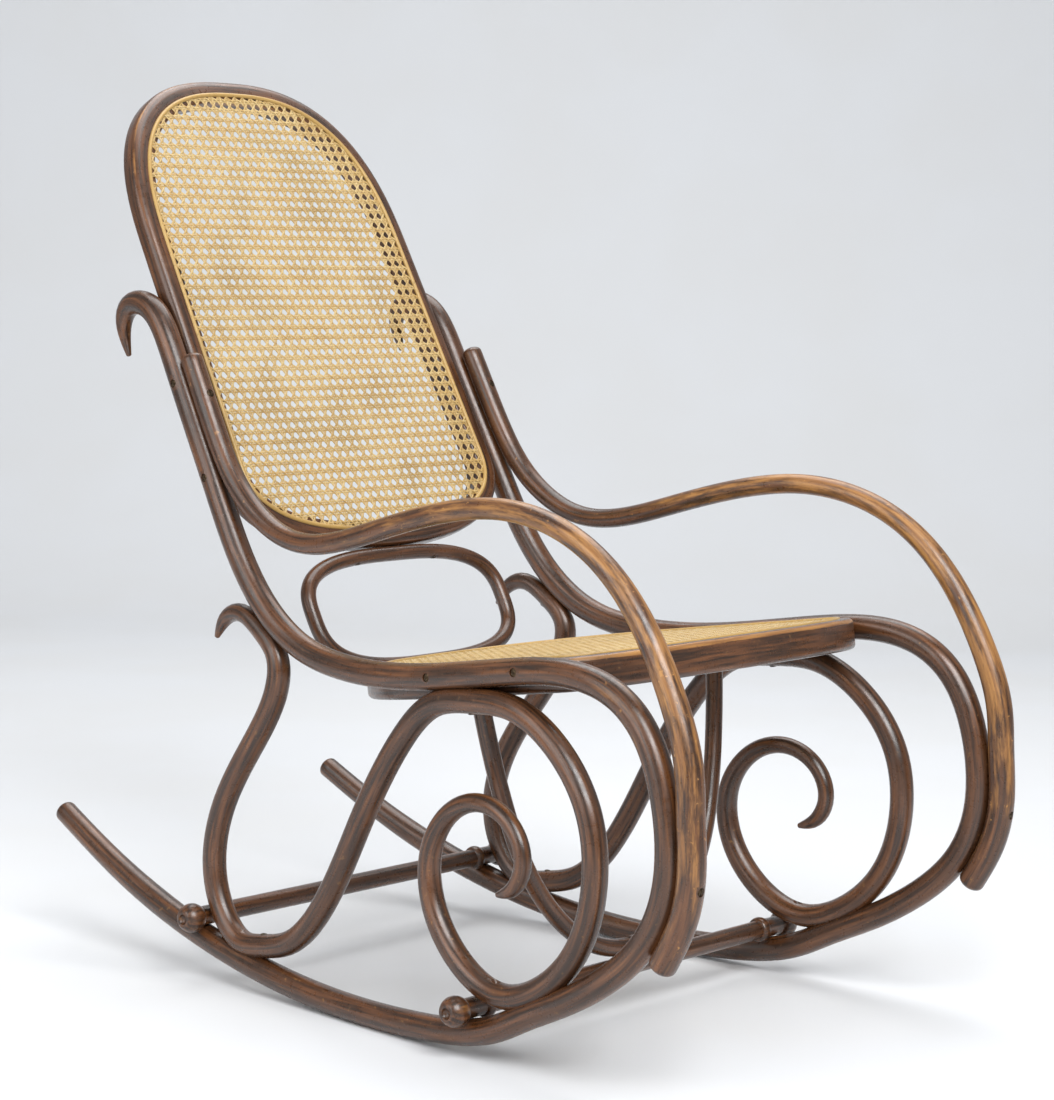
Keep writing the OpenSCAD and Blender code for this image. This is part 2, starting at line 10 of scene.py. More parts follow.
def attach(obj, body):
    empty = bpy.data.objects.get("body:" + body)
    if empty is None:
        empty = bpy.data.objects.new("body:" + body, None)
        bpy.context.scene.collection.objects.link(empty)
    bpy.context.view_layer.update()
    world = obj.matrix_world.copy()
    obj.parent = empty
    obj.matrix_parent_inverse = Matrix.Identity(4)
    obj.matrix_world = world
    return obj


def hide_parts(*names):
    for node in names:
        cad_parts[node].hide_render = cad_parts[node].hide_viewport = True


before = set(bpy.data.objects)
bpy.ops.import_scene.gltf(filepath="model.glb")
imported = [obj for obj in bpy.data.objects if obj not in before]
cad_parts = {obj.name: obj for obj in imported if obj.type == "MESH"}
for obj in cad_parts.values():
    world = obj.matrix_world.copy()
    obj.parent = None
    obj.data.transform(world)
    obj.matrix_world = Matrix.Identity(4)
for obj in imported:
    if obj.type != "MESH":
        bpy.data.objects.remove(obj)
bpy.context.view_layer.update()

bl_info = {
    "name": "Bentwood Rocking Chair",
    "version": (1, 0, 0),
    "blender": (4, 5, 0),
    "location": "View3D > Sidebar > Rocker",
    "description": "Round bent rods, woven cane, splines and screws around the fixed chair frame",
    "category": "Add Mesh",
}

# ---- sizes, in millimetres, the same as the solids' --------------------------
SPACING = 500.0
SPLAY = math.radians(3.35)
ARC = 1060.0
LEAN = math.radians(2.3)
RAIL_R = 14.0
ARM_R, ARM_MID_R, ARM_FOOT_R = 12.0, 11.0, 14.0
SCROLL_R, SPIRAL_R, HOOK_R = 13.0, 9.0, 3.0
BACK_H, BACK_DROP, BACK_RIM, BACK_T = 590.0, 60.0, 29.0, 24.0
SEAT_FRONT, SEAT_RIM, SEAT_T, SEAT_RISE = 160.0, 46.0, 34.0, 10.0
SPLINE_D, BACK_SPLINE, SEAT_SPLINE = 5.0, 20.0, 17.0
BACK_EDGE, SEAT_EDGE = 9.0, 6.0
RING_R, RING_H, RING_W = 8.5, 148.0, 326.0
STRETCHER_R, BALL_R, BALL_OUT, BEAD_R, BRACE_R = 10.5, 16.0, 24.0, 14.0, 9.5
SCREW_R, TOUCH, BEND = 4.2, 0.2, 0.2
ARC_MID = -28.0
SPIRAL_FROM, SPIRAL_STEPS = 26, 8
STEP = 6.0
# places along the rail, counted in guide points
POST_HIGH, POST_LOW = 5.4, 7.4
FRONT_U, REAR_U = 25.07, 29.32


def rolled(p):
    """A point of the side frame, rolled back about the middle of the rockers' arc."""
    a, b = p[0] - ARC_MID, p[1] - ARC
    c, s = math.cos(LEAN), math.sin(LEAN)
    return np.array([ARC_MID + a * c + b * s, ARC - a * s + b * c])


def guides(*points):
    return [rolled(p) for p in points]


class Curve:
    """A cubic B-spline that meets its guide points."""

    def __init__(self, points):
        p = np.array(points, float)
        self.last = len(p) - 1
        e = self.ends(p)
        pushed = e[1:-1] - (e[:-2] - 2 * e[1:-1] + e[2:]) / 6
        self.c = self.ends(pushed)

    @staticmethod
    def ends(p):
        return np.vstack([2 * p[0] - p[1], p, 2 * p[-1] - p[-2]])

    def at(self, u):
        i = int(min(math.floor(u), len(self.c) - 4))
        t = u - i
        w = [(1 - t) ** 3, 3 * t**3 - 6 * t**2 + 4, 3 * t**2 - 3 * t**3 + 3 * t + 1, t**3]
        return sum(k * q for k, q in zip(w, self.c[i : i + 4])) / 6

    def tangent(self, u):
        i = int(min(math.floor(u), len(self.c) - 4))
        t = u - i
        w = [-((1 - t) ** 2), 3 * t**2 - 4 * t, 2 * t - 3 * t**2 + 1, t**2]
        d = sum(k * q for k, q in zip(w, self.c[i : i + 4]))
        return d / np.linalg.norm(d)

    def beside(self, u, d):
        t = self.tangent(u)
        return self.at(u) + d * np.array([-t[1], t[0]])

    def params(self, step=STEP):
        """Parameters spaced about evenly along the curve."""
        us = np.linspace(0, self.last, self.last * 60 + 1)
        pts = np.array([self.at(u) for u in us])
        s = np.concatenate([[0], np.cumsum(np.linalg.norm(np.diff(pts, axis=0), axis=1))])
        return np.interp(np.linspace(0, s[-1], int(s[-1] / step) + 1), s, us)


def ease(t):
    t = min(1.0, max(0.0, t))
    return t * t * (3 - 2 * t)


def mix(a, b, t):
    return a + (b - a) * t


# ---- the side frame's centre lines, the same guide points as the solids' ------
RAIL = Curve(
    guides(
        (392, 675), (401, 708), (387, 731), (356, 729),
        (331, 706), (308, 662), (278, 603), (245, 539),
        (211, 473), (169, 416), (116, 377), (57, 360),
        (-8, 355), (-74, 358), (-141, 366), (-209, 375),
        (-275, 379), (-335, 366), (-380, 327), (-403, 262),
        (-405, 193), (-380, 135), (-332, 92), (-275, 59),
        (-218, 35),
    )
    + [
        np.array([ARC_MID + ARC * math.sin(a), ARC * (1 - math.cos(a))])
        for a in (math.radians(-7 + 5.4 * i) - LEAN for i in range(8))
    ]
)


def swell(t):
    t = min(1.0, max(0.0, t))
    return t * (2 - t)


def rail_radius(u):
    return mix(HOOK_R, RAIL_R, swell(u / 3.2)) * mix(1, 0.9, ease((u - RAIL.last + 2) / 2))


def arm_radius(u):
    return mix(mix(ARM_R, ARM_MID_R, ease((u - 2.5) / 3)), ARM_FOOT_R, ease((u - 9.5) / 5))


def scroll_radius(u):
    """The scroll swells from a pointed hook and ends in a pointed curl."""
    if u < SPIRAL_FROM:
        hook = mix(HOOK_R, 0.77 * SCROLL_R, swell(u / 2))
        return mix(hook, SCROLL_R, ease((u - 2) / 3))
    turn = mix(SCROLL_R, SPIRAL_R, ease((u - SPIRAL_FROM) / 5))
    return mix(HOOK_R, turn, swell((SPIRAL_FROM + SPIRAL_STEPS - u) / 1.6))


ARM = Curve(
    [RAIL.beside(u, -(RAIL_R + ARM_R + TOUCH + BEND)) for u in (5.05, 5.75, 6.45)]
    + guides(
        (210, 540), (167, 503), (114, 483), (51, 487),
        (-22, 506), (-103, 525), (-185, 533), (-262, 519),
        (-326, 484), (-374, 432), (-408, 371), (-430, 312),
    )
    + [RAIL.beside(u, -(RAIL_R + ARM_FOOT_R + TOUCH + BEND)) for u in (19.1, 19.75, 20.4, 21.05)]
)
CLEAR = RAIL_R + SCROLL_R + TOUCH + BEND
SCROLL = Curve(
    guides((244, 374), (229, 395), (201, 403))
    + [RAIL.beside(9.3, RAIL_R + scroll_radius(3) + TOUCH + BEND)]
    + guides((144, 357), (153, 310), (192, 255), (234, 194), (252, 130), (239, 78), (208, 45))
    + [RAIL.beside(28.36, CLEAR)]
    + guides((126, 56), (82, 94), (42, 154), (3, 224), (-43, 289), (-90, 332))
    + [RAIL.beside(14, CLEAR)]
    + guides((-205, 339), (-263, 305), (-304, 249), (-312, 180), (-292, 115), (-247, 70))
    + [RAIL.beside(24.35, CLEAR)]
    + guides(
        (-130, 75), (-92, 125), (-87, 183), (-118, 227), (-164, 240),
        (-203, 221), (-217, 187), (-204, 160), (-182, 151),
    )
)
SEAT_MID = rolled((-107, 369))[0]
POST_DIR = RAIL.at(POST_HIGH) - RAIL.at(POST_LOW)
POST_DIR = POST_DIR / np.linalg.norm(POST_DIR)
FRONT_MOST = min(ARM.at(i / 2)[0] for i in range(ARM.last * 2 + 1)) - ARM_FOOT_R
REAR_MOST = max(
    RAIL.at(RAIL.last)[0] + RAIL_R * 0.5,
    RAIL.at(POST_LOW)[0] + POST_DIR[0] * (BACK_H - BACK_DROP) + BACK_T * 0.4,
)
MID_Y = (FRONT_MOST + REAR_MOST) / 2 * math.cos(SPLAY)


def half_at(s):
    return SPACING / 2 - (s - SEAT_MID) * math.sin(SPLAY)


def place(p, out=0.0):
    """A point of the left-hand (+X) side frame in the chair's axes."""
    return np.array(
        [
            half_at(p[0]) + out * math.cos(SPLAY),
            p[0] * math.cos(SPLAY) - MID_Y + out * math.sin(SPLAY),
            p[1] + RAIL_R,
        ]
    )


def half_at_y(y):
    return half_at((y + MID_Y) / math.cos(SPLAY))


def unit(v):
    return np.array(v, float) / np.linalg.norm(v)


def rounded_square(q, power):
    """A point of the unit superellipse at angle q."""
    return [math.copysign(abs(c) ** (2 / power), c) for c in (math.cos(q), math.sin(q))]


# ---- planes of the back and the seat ------------------------------------------
class Panel:
    """A caned frame lying in a plane, with the outline that its rails leave it."""

    # 1 where a cap's sides keep following the rails, 0 where they stay square
    grip_high = 1.0
    grip_low = 1.0

    def __init__(self, ref, along, up, low, high, cap_low, cap_high, power_low, power_high):
        self.ref, self.along, self.up = np.array(ref), np.array(along), np.array(up)
        self.low, self.high = low, high
        self.cap_low, self.cap_high = cap_low, cap_high
        self.power_low, self.power_high = power_low, power_high

    def point(self, x, v, h=0.0):
        return self.ref + np.array([x, 0, 0]) + v * self.along + h * self.up

    def half(self, v):
        return half_at_y(self.ref[1] + v * self.along[1]) - RAIL_R / math.cos(SPLAY) - TOUCH

    def outline(self, inset, turns=64, sides=12):
        """Closed outline: two superellipse caps joined by the straight sides."""

        def cap(height, power, q):
            x, v = rounded_square(q, power)
            return x, v * height

        out = []
        top, low = self.high - self.cap_high, self.low + self.cap_low
        for i in range(turns + 1):
            x, v = cap(self.cap_high - inset, self.power_high, math.pi * i / turns)
            out.append((x * (self.half(top + self.grip_high * v) - inset), top + v))
        for j in range(1, sides):
            v = mix(top, low, j / sides)
            out.append((-(self.half(v) - inset), v))
        for i in range(turns + 1):
            x, v = cap(self.cap_low - inset, self.power_low, math.pi * (1 + i / turns))
            out.append((x * (self.half(low + self.grip_low * v) - inset), low + v))
        for j in range(1, sides):
            v = mix(low, top, j / sides)
            out.append((self.half(v) - inset, v))
        return np.array(out)


post_low, post_high = RAIL.at(POST_LOW), RAIL.at(POST_HIGH)
back_along = unit([0, (post_high - post_low)[0] * math.cos(SPLAY), (post_high - post_low)[1]])
back_ref = [0, post_low[0] * math.cos(SPLAY) - MID_Y, post_low[1] + RAIL_R]
BACK = Panel(
    back_ref, back_along, [0, -back_along[2], back_along[1]],
    -BACK_DROP, BACK_H - BACK_DROP, 106.0, 212.0, 2.5, 2.6,
)
RING_MID = BACK.low - TOUCH - RING_H / 2
RING_LOW = RING_MID - RING_H / 2 + RING_R
seat_a, seat_b = RAIL.at(13), RAIL.at(15)
seat_along = unit([0, (seat_b - seat_a)[0] * math.cos(SPLAY), (seat_b - seat_a)[1]])
seat_up = np.array([0, seat_along[2], -seat_along[1]])
seat_mid = (seat_a + seat_b) / 2
seat_ref = np.array([0, seat_mid[0] * math.cos(SPLAY) - MID_Y, seat_mid[1] + RAIL_R])
seat_ref = seat_ref + SEAT_RISE * seat_up
seat_rear = -((BACK.point(0, RING_LOW) - seat_ref) @ seat_along) - RING_R - TOUCH
SEAT = Panel(
    seat_ref, seat_along, seat_up,
    -seat_rear, SEAT_FRONT, 0.56 * (seat_rear + SEAT_FRONT), 60.0, 2.4, 2.6,
)
SEAT.grip_low = 0.0

# ---- stretchers and brace ------------------------------------------------------
FRONT_AXIS = RAIL.beside(FRONT_U, RAIL_R + STRETCHER_R + TOUCH)
REAR_AXIS = RAIL.beside(REAR_U, RAIL_R + STRETCHER_R + TOUCH)
brace_foot = np.array([0, FRONT_AXIS[0] * math.cos(SPLAY) - MID_Y, FRONT_AXIS[1] + RAIL_R])
brace_foot = brace_foot + (STRETCHER_R + BRACE_R + TOUCH) * seat_up
brace_rise = (seat_ref - brace_foot) @ seat_up - SEAT_T - TOUCH
brace_half = SEAT.half((brace_foot - seat_ref) @ seat_along) - SEAT_RIM + 7


# ---- panel of settings ------------------------------------------------------------
class RockerWood(bpy.types.PropertyGroup):
    stain: bpy.props.StringProperty(
        name="Stain", description="Colour of the stained wood, as hex", default="5f3a20"
    )
    stain_dark: bpy.props.StringProperty(
        name="Dark stain", description="Colour of the grain and of thick varnish", default="2b1a0e"
    )
    bare: bpy.props.StringProperty(
        name="Worn wood", description="Colour where the stain has worn through", default="a8783f"
    )
    gloss: bpy.props.FloatProperty(
        name="Roughness", description="Roughness of the varnish", default=0.3, min=0, max=1
    )
    sides: bpy.props.IntProperty(
        name="Sides", description="Faces round a bent rod", default=28, min=8, max=64
    )


class RockerCane(bpy.types.PropertyGroup):
    straw: bpy.props.StringProperty(
        name="Cane", description="Colour of the cane strands", default="b3935a"
    )
    reed: bpy.props.StringProperty(
        name="Reed", description="Colour of the spline", default="ae8d52"
    )
    pitch: bpy.props.FloatProperty(
        name="Pitch", description="Distance between holes", default=0.0127, subtype="DISTANCE"
    )
    strand: bpy.props.FloatProperty(
        name="Strand", description="Width of one strand", default=0.0023, subtype="DISTANCE"
    )
    thick: bpy.props.FloatProperty(
        name="Thickness", description="Thickness of one strand", default=0.0007, subtype="DISTANCE"
    )


class RockerStage(bpy.types.PropertyGroup):
    floor: bpy.props.StringProperty(
        name="Floor", description="Colour of the plain floor", default="d8dadd"
    )
    light: bpy.props.FloatProperty(
        name="Key light", description="Power of the softbox", default=170, subtype="POWER"
    )


def settings():
    return bpy.context.scene.rocker_wood, bpy.context.scene.rocker_cane, bpy.context.scene.rocker_stage


# ---- helpers ----------------------------------------------------------------------
def linear(code):
    """sRGB hex to linear colour."""
    parts = [int(code[i : i + 2], 16) / 255 for i in (0, 2, 4)]
    return [p / 12.92 if p <= 0.04045 else ((p + 0.055) / 1.055) ** 2.4 for p in parts] + [1.0]


def add(tree, kind, links=None, **values):
    """Adds a node with its settings and links; links are given by input name or number."""
    node = tree.nodes.new(kind)
    for key, value in values.items():
        setattr(node, key, value)
    for name, value in (links or {}).items():
        socket = node.inputs[name]
        if isinstance(value, bpy.types.NodeSocket):
            tree.links.new(value, socket)
        else:
            socket.default_value = value
    return node


def lengths(points, closed):
    """Distance along a line or a loop at each of its points."""
    p = np.array(points)
    if closed:
        p = np.vstack([p, p[:1]])
    along = np.concatenate([[0], np.cumsum(np.linalg.norm(np.diff(p, axis=0), axis=1))])
    return along[:-1] if closed else along


def shade(mesh, angle):
    mesh.polygons.foreach_set("use_smooth", [True] * len(mesh.polygons))
    mesh.set_sharp_from_angle(angle=math.radians(angle))


def new_object(name, mesh):
    o = bpy.data.objects.new(name, mesh)
    bpy.context.scene.collection.objects.link(o)
    return o


def finish_piece(o, slot, *nodes):
    """Puts a finished mesh on the chair's body in place of the plain solids."""
    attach(o, "root")
    if nodes:
        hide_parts(*nodes)
    return o


def baked(name, source, angle=None):
    """The evaluated mesh of source as a plain mesh object; source and its modifiers go."""
    depsgraph = bpy.context.evaluated_depsgraph_get()
    mesh = bpy.data.meshes.new_from_object(source.evaluated_get(depsgraph), depsgraph=depsgraph)
    source.modifiers.clear()
    bpy.data.objects.remove(source)
    mesh.name = name
    if len(mesh.polygons) == 0:
        raise RuntimeError(f"{name} came out empty")
    if angle is not None:
        shade(mesh, angle)
    return new_object(name, mesh)


def store(mesh, key, data):
    """Stores a number or a vector for each point of a mesh."""
    data = np.array(data, np.float32)
    kind, field = ("FLOAT", "value") if data.ndim == 1 else ("FLOAT_VECTOR", "vector")
    mesh.attributes.new(key, kind, "POINT").data.foreach_set(field, data.ravel())


def cut_away(name, o, cutter, angle):
    """The piece without what the cutter covers, as a new plain mesh object."""
    cut = o.modifiers.new("cut", "BOOLEAN")
    cut.operation, cut.object, cut.solver = "DIFFERENCE", cutter, "EXACT"
    made = baked(name, o, angle)
    bpy.data.objects.remove(cutter)
    return made


def line_mesh(name, lines, closed, values=None):
    """Edges along each line of points (millimetres), with float values per point."""
    verts, edges, base = [], [], 0
    for line in lines:
        n = len(line)
        verts.extend([tuple(c / 1000 for c in p) for p in line])
        edges.extend([(base + i, base + i + 1) for i in range(n - 1)])
        if closed:
            edges.append((base + n - 1, base))
        base += n
    mesh = bpy.data.meshes.new(name)
    mesh.from_pydata(verts, edges, [])
    for key, data in (values or {}).items():
        store(mesh, key, data)
    return mesh


def geometry_tree(name, inputs):
    tree = bpy.data.node_groups.new(name, "GeometryNodeTree")
    tree.interface.new_socket("Geometry", in_out="INPUT", socket_type="NodeSocketGeometry")
    ids = {}
    for label, kind in inputs:
        ids[label] = tree.interface.new_socket(label, in_out="INPUT", socket_type=kind).identifier
    tree.interface.new_socket("Geometry", in_out="OUTPUT", socket_type="NodeSocketGeometry")
    return tree, ids


def close_tree(tree, geometry, material):
    real = add(tree, "GeometryNodeRealizeInstances", {"Geometry": geometry})
    dressed = add(tree, "GeometryNodeSetMaterial", {"Geometry": real.outputs[0], "Material": material})
    out = tree.nodes.new("NodeGroupOutput")
    tree.links.new(dressed.outputs[0], out.inputs[0])


def rod_tree():
    """Sweeps a circle along edges; point values girth and along give its size and grain."""
    name = "bent_rod"
    inputs = [("Sides", "NodeSocketInt"), ("Material", "NodeSocketMaterial")]
    tree, ids = geometry_tree(name, inputs)
    gin = tree.nodes.new("NodeGroupInput")
    radius = add(tree, "GeometryNodeInputNamedAttribute", {"Name": "girth"}, data_type="FLOAT")
    line = add(tree, "GeometryNodeMeshToCurve", {"Mesh": gin.outputs["Geometry"]})
    sized = add(
        tree, "GeometryNodeSetCurveRadius", {"Curve": line.outputs[0], "Radius": radius.outputs[0]}
    )
    circle = add(
        tree, "GeometryNodeCurvePrimitiveCircle", {"Resolution": gin.outputs["Sides"], "Radius": 1.0}
    )
    links = {"Curve": sized.outputs[0], "Profile Curve": circle.outputs[0], "Fill Caps": True}
    sweep = tree.nodes.new("GeometryNodeCurveToMesh")
    if "Scale" in sweep.inputs:
        links["Scale"] = radius.outputs[0]
    for key, value in links.items():
        if isinstance(value, bpy.types.NodeSocket):
            tree.links.new(value, sweep.inputs[key])
        else:
            sweep.inputs[key].default_value = value
    smooth = add(tree, "GeometryNodeSetShadeSmooth", {"Geometry": sweep.outputs[0]})
    close_tree(tree, smooth.outputs[0], gin.outputs["Material"])
    return tree, ids


def strip_tree():
    """Sweeps a flat oval along edges, lying in a plane whose normal is an input."""
    inputs = [
        ("Width", "NodeSocketFloat"), ("Thickness", "NodeSocketFloat"),
        ("Sides", "NodeSocketInt"), ("Panel Normal", "NodeSocketVector"),
        ("Material", "NodeSocketMaterial"),
    ]
    tree, ids = geometry_tree("flat_strand", inputs)
    gin = tree.nodes.new("NodeGroupInput")
    line = add(tree, "GeometryNodeMeshToCurve", {"Mesh": gin.outputs["Geometry"]})
    facing = add(
        tree, "GeometryNodeSetCurveNormal",
        {"Curve": line.outputs[0], "Normal": gin.outputs["Panel Normal"]}, mode="FREE",
    )
    circle = add(
        tree, "GeometryNodeCurvePrimitiveCircle", {"Resolution": gin.outputs["Sides"], "Radius": 0.5}
    )
    size = add(
        tree, "ShaderNodeCombineXYZ", {0: gin.outputs["Thickness"], 1: gin.outputs["Width"], 2: 1.0}
    )
    oval = add(
        tree, "GeometryNodeTransform", {"Geometry": circle.outputs[0], "Scale": size.outputs[0]}
    )
    sweep = add(
        tree, "GeometryNodeCurveToMesh",
        {"Curve": facing.outputs[0], "Profile Curve": oval.outputs[0], "Fill Caps": True},
    )
    smooth = add(tree, "GeometryNodeSetShadeSmooth", {"Geometry": sweep.outputs[0]})
    close_tree(tree, smooth.outputs[0], gin.outputs["Material"])
    return tree, ids


def through(name, mesh, tree_ids, values):
    """Runs a mesh through a geometry tree and keeps the result as a plain mesh object."""
    tree, ids = tree_ids
    source = new_object(name + "_line", mesh)
    modifier = source.modifiers.new("sweep", "NODES")
    modifier.node_group = tree
    for label, value in values.items():
        modifier[ids[label]] = value
    return baked(name, source)


def grain_of_rod(o, sides):
    """Stores where each point lies in the straight rod, so that the grain runs along it."""
    mesh = o.data
    n = len(mesh.vertices)
    along, radius = np.zeros(n, np.float32), np.zeros(n, np.float32)
    mesh.attributes["along"].data.foreach_get("value", along)
    mesh.attributes["girth"].data.foreach_get("value", radius)
    turn = 2 * math.pi * (np.arange(n) % sides) / sides
    store(mesh, "straight", np.stack([along, radius * np.cos(turn), radius * np.sin(turn)], axis=1))


# ---- finishes -----------------------------------------------------------------------
def base_material(name):
    m = bpy.data.materials.new(name)
    m.use_nodes = True
    tree = m.node_tree
    tree.nodes.clear()
    out = tree.nodes.new("ShaderNodeOutputMaterial")
    surface = tree.nodes.new("ShaderNodeBsdfPrincipled")
    tree.links.new(surface.outputs[0], out.inputs[0])
    return m, tree, surface


def stretched(tree, source, scale):
    """source vector times scale."""
    return add(
        tree, "ShaderNodeVectorMath", {0: source, 1: scale}, operation="MULTIPLY"
    ).outputs[0]


def blended(tree, factor, a, b, mode="MIX"):
    node = add(tree, "ShaderNodeMix", data_type="RGBA", blend_type=mode)
    for socket, value in ((node.inputs[0], factor), (node.inputs[6], a), (node.inputs[7], b)):
        if isinstance(value, bpy.types.NodeSocket):
            tree.links.new(value, socket)
        else:
            socket.default_value = value
    return node.outputs[2]


def ranged(tree, value, low, high, to_low=0.0, to_high=1.0):
    return add(
        tree, "ShaderNodeMapRange",
        {"Value": value, "From Min": low, "From Max": high, "To Min": to_low, "To Max": to_high},
        interpolation_type="SMOOTHSTEP",
    ).outputs[0]


def math_node(tree, operation, a, b=0.0):
    return add(tree, "ShaderNodeMath", {0: a, 1: b}, operation=operation, use_clamp=True).outputs[0]


def stained_beech(name, specks_share):
    """Steam-bent beech, stained dark red-brown and varnished, semi-gloss and worn.

    The grain runs along the bend: streaks 2 mm wide and about 80 mm long, short dark pores,
    cloudy stain, and honey-coloured wood where the value named worn is high.
    """
    wood = bpy.context.scene.rocker_wood
    m, tree, surface = base_material(name)
    straight = add(tree, "ShaderNodeAttribute", attribute_name="straight").outputs["Vector"]
    worn = add(tree, "ShaderNodeAttribute", attribute_name="worn").outputs["Fac"]
    where = add(tree, "ShaderNodeTexCoord").outputs["Object"]

    def grain(along, across, detail=4.0, rough=0.6):
        """Noise whose patches are 1/along metres long and 1/across metres wide."""
        return add(
            tree, "ShaderNodeTexNoise",
            {
                "Vector": stretched(tree, straight, (along, across, across)),
                "Scale": 1.0, "Detail": detail, "Roughness": rough,
            },
        ).outputs["Fac"]

    streak = grain(12, 260, 5.0)
    broad = grain(7, 70, 3.0)
    pores = grain(160, 1300, 2.0)
    patch = grain(14, 95, 5.0, 0.65)
    specks = add(
        tree, "ShaderNodeTexNoise", {"Vector": where, "Scale": 120.0, "Detail": 6.0, "Roughness": 0.62}
    ).outputs["Fac"]
    dark, mid, bare = linear(wood.stain_dark), linear(wood.stain), linear(wood.bare)
    light = linear("8a5a32")
    body = blended(tree, ranged(tree, streak, 0.34, 0.62), dark, mid)
    body = blended(tree, ranged(tree, streak, 0.55, 0.78, 0.0, 0.55), body, light)
    body = blended(tree, ranged(tree, broad, 0.42, 0.68, 0.0, 0.6), body, dark)
    tan = blended(tree, ranged(tree, streak, 0.32, 0.68), linear("7c5029"), bare)
    # bare wood shows where the worn value and the streaky patches add up
    total = math_node(tree, "ADD", worn, ranged(tree, patch, 0.25, 0.75, -0.35, 0.35))
    mask = ranged(tree, total, 0.42, 0.85, 0.0, 0.9)
    small = math_node(
        tree, "MULTIPLY", ranged(tree, specks, 0.64, 0.7), ranged(tree, worn, 0.05, 0.4, 0.25, 1.0)
    )
    colour = blended(tree, mask, body, tan)
    colour = blended(tree, math_node(tree, "MULTIPLY", small, specks_share), colour, bare)
    colour = blended(tree, ranged(tree, pores, 0.6, 0.72, 0.0, 0.55), colour, dark)
    tree.links.new(colour, surface.inputs["Base Color"])
    uneven = ranged(tree, specks, 0.3, 0.7, wood.gloss - 0.06, wood.gloss + 0.1)
    rough = math_node(tree, "ADD", uneven, math_node(tree, "MULTIPLY", mask, 0.12))
    tree.links.new(rough, surface.inputs["Roughness"])
    height = math_node(tree, "MULTIPLY", ranged(tree, pores, 0.6, 0.75, 1.0, 0.0), 0.7)
    height = math_node(tree, "ADD", height, math_node(tree, "MULTIPLY", streak, 0.3))
    bump = add(tree, "ShaderNodeBump", {"Height": height, "Strength": 0.3, "Distance": 0.0003})
    tree.links.new(bump.outputs[0], surface.inputs["Normal"])
    surface.inputs["IOR"].default_value = 1.5
    surface.inputs["Coat Weight"].default_value = 0.3
    surface.inputs["Coat Roughness"].default_value = 0.25
    return m


def woven_cane(name, colour_code, tone):
    """Rattan cane: glossy straw skin with fine ribs, darker knots and a tone for each strand."""
    m, tree, surface = base_material(name)
    strand = add(tree, "ShaderNodeAttribute", attribute_name="strand").outputs["Fac"]
    where = add(tree, "ShaderNodeTexCoord").outputs["Object"]
    stain = add(
        tree, "ShaderNodeTexNoise", {"Vector": where, "Scale": 14.0, "Detail": 4.0}
    ).outputs["Fac"]
    # skin flecks 3 to 5 mm long
    fleck = add(
        tree, "ShaderNodeTexNoise", {"Vector": where, "Scale": 260.0, "Detail": 3.0}
    ).outputs["Fac"]
    straw = linear(colour_code)
    pale = linear("cbb583")
    brown = linear("7a5f30")
    colour = blended(tree, ranged(tree, strand, 0.0, 1.0, 0.0, 0.6), straw, pale)
    colour = blended(tree, ranged(tree, stain, 0.45, 0.75, 0.0, tone), colour, brown)
    colour = blended(tree, ranged(tree, fleck, 0.58, 0.72, 0.0, 0.45), colour, brown)
    tree.links.new(colour, surface.inputs["Base Color"])
    tree.links.new(ranged(tree, fleck, 0.3, 0.7, 0.3, 0.46), surface.inputs["Roughness"])
    bump = add(tree, "ShaderNodeBump", {"Height": fleck, "Strength": 0.2, "Distance": 0.0002})
    tree.links.new(bump.outputs[0], surface.inputs["Normal"])
    surface.inputs["IOR"].default_value = 1.5
    return m


def dull_steel(name):
    """Old zinc-coated steel screws, dulled and a little brown in the slot."""
    m, tree, surface = base_material(name)
    where = add(tree, "ShaderNodeTexCoord").outputs["Object"]
    # tarnish blotches about 2 mm across
    blotch = add(
        tree, "ShaderNodeTexNoise", {"Vector": where, "Scale": 480.0, "Detail": 4.0}
    ).outputs["Fac"]
    colour = blended(tree, ranged(tree, blotch, 0.4, 0.65), linear("5a4a38"), linear("2e2418"))
    tree.links.new(colour, surface.inputs["Base Color"])
    tree.links.new(ranged(tree, blotch, 0.3, 0.7, 0.35, 0.6), surface.inputs["Roughness"])
    surface.inputs["Metallic"].default_value = 0.9
    return m


def plain_floor(name, code):
    """Matt painted board, faintly uneven."""
    m, tree, surface = base_material(name)
    where = add(tree, "ShaderNodeTexCoord").outputs["Object"]
    cloud = add(tree, "ShaderNodeTexNoise", {"Vector": where, "Scale": 3.0, "Detail": 2.0}).outputs["Fac"]
    colour = blended(tree, ranged(tree, cloud, 0.3, 0.7, 0.0, 0.15), linear(code), linear("cfccc6"))
    tree.links.new(colour, surface.inputs["Base Color"])
    surface.inputs["Roughness"].default_value = 0.85
    return m


def finish(name):
    """The named finish, made once."""
    found = bpy.data.materials.get(name)
    if found:
        return found
    wood, cane, stage = settings()
    makers = {
        "stained_beech_varnished": lambda: stained_beech(name, 0.55),
        "stained_beech_worn": lambda: stained_beech(name, 0.9),
        "rattan_cane_back": lambda: woven_cane(name, cane.straw, 0.35),
        "rattan_cane_seat": lambda: woven_cane(name, cane.straw, 0.25),
        "round_reed": lambda: woven_cane(name, cane.reed, 0.3),
        "dull_steel": lambda: dull_steel(name),
        "plain_floor": lambda: plain_floor(name, stage.floor),
    }
    return makers[name]()


# ---- screws: where each stands, which way it is driven --------------------------------
def in_frame(p, d):
    a, b = place(p), place(p + d)
    return a, unit(b - a)


def side_of(u):
    t = RAIL.tangent(u)
    return np.array([-t[1], t[0]])


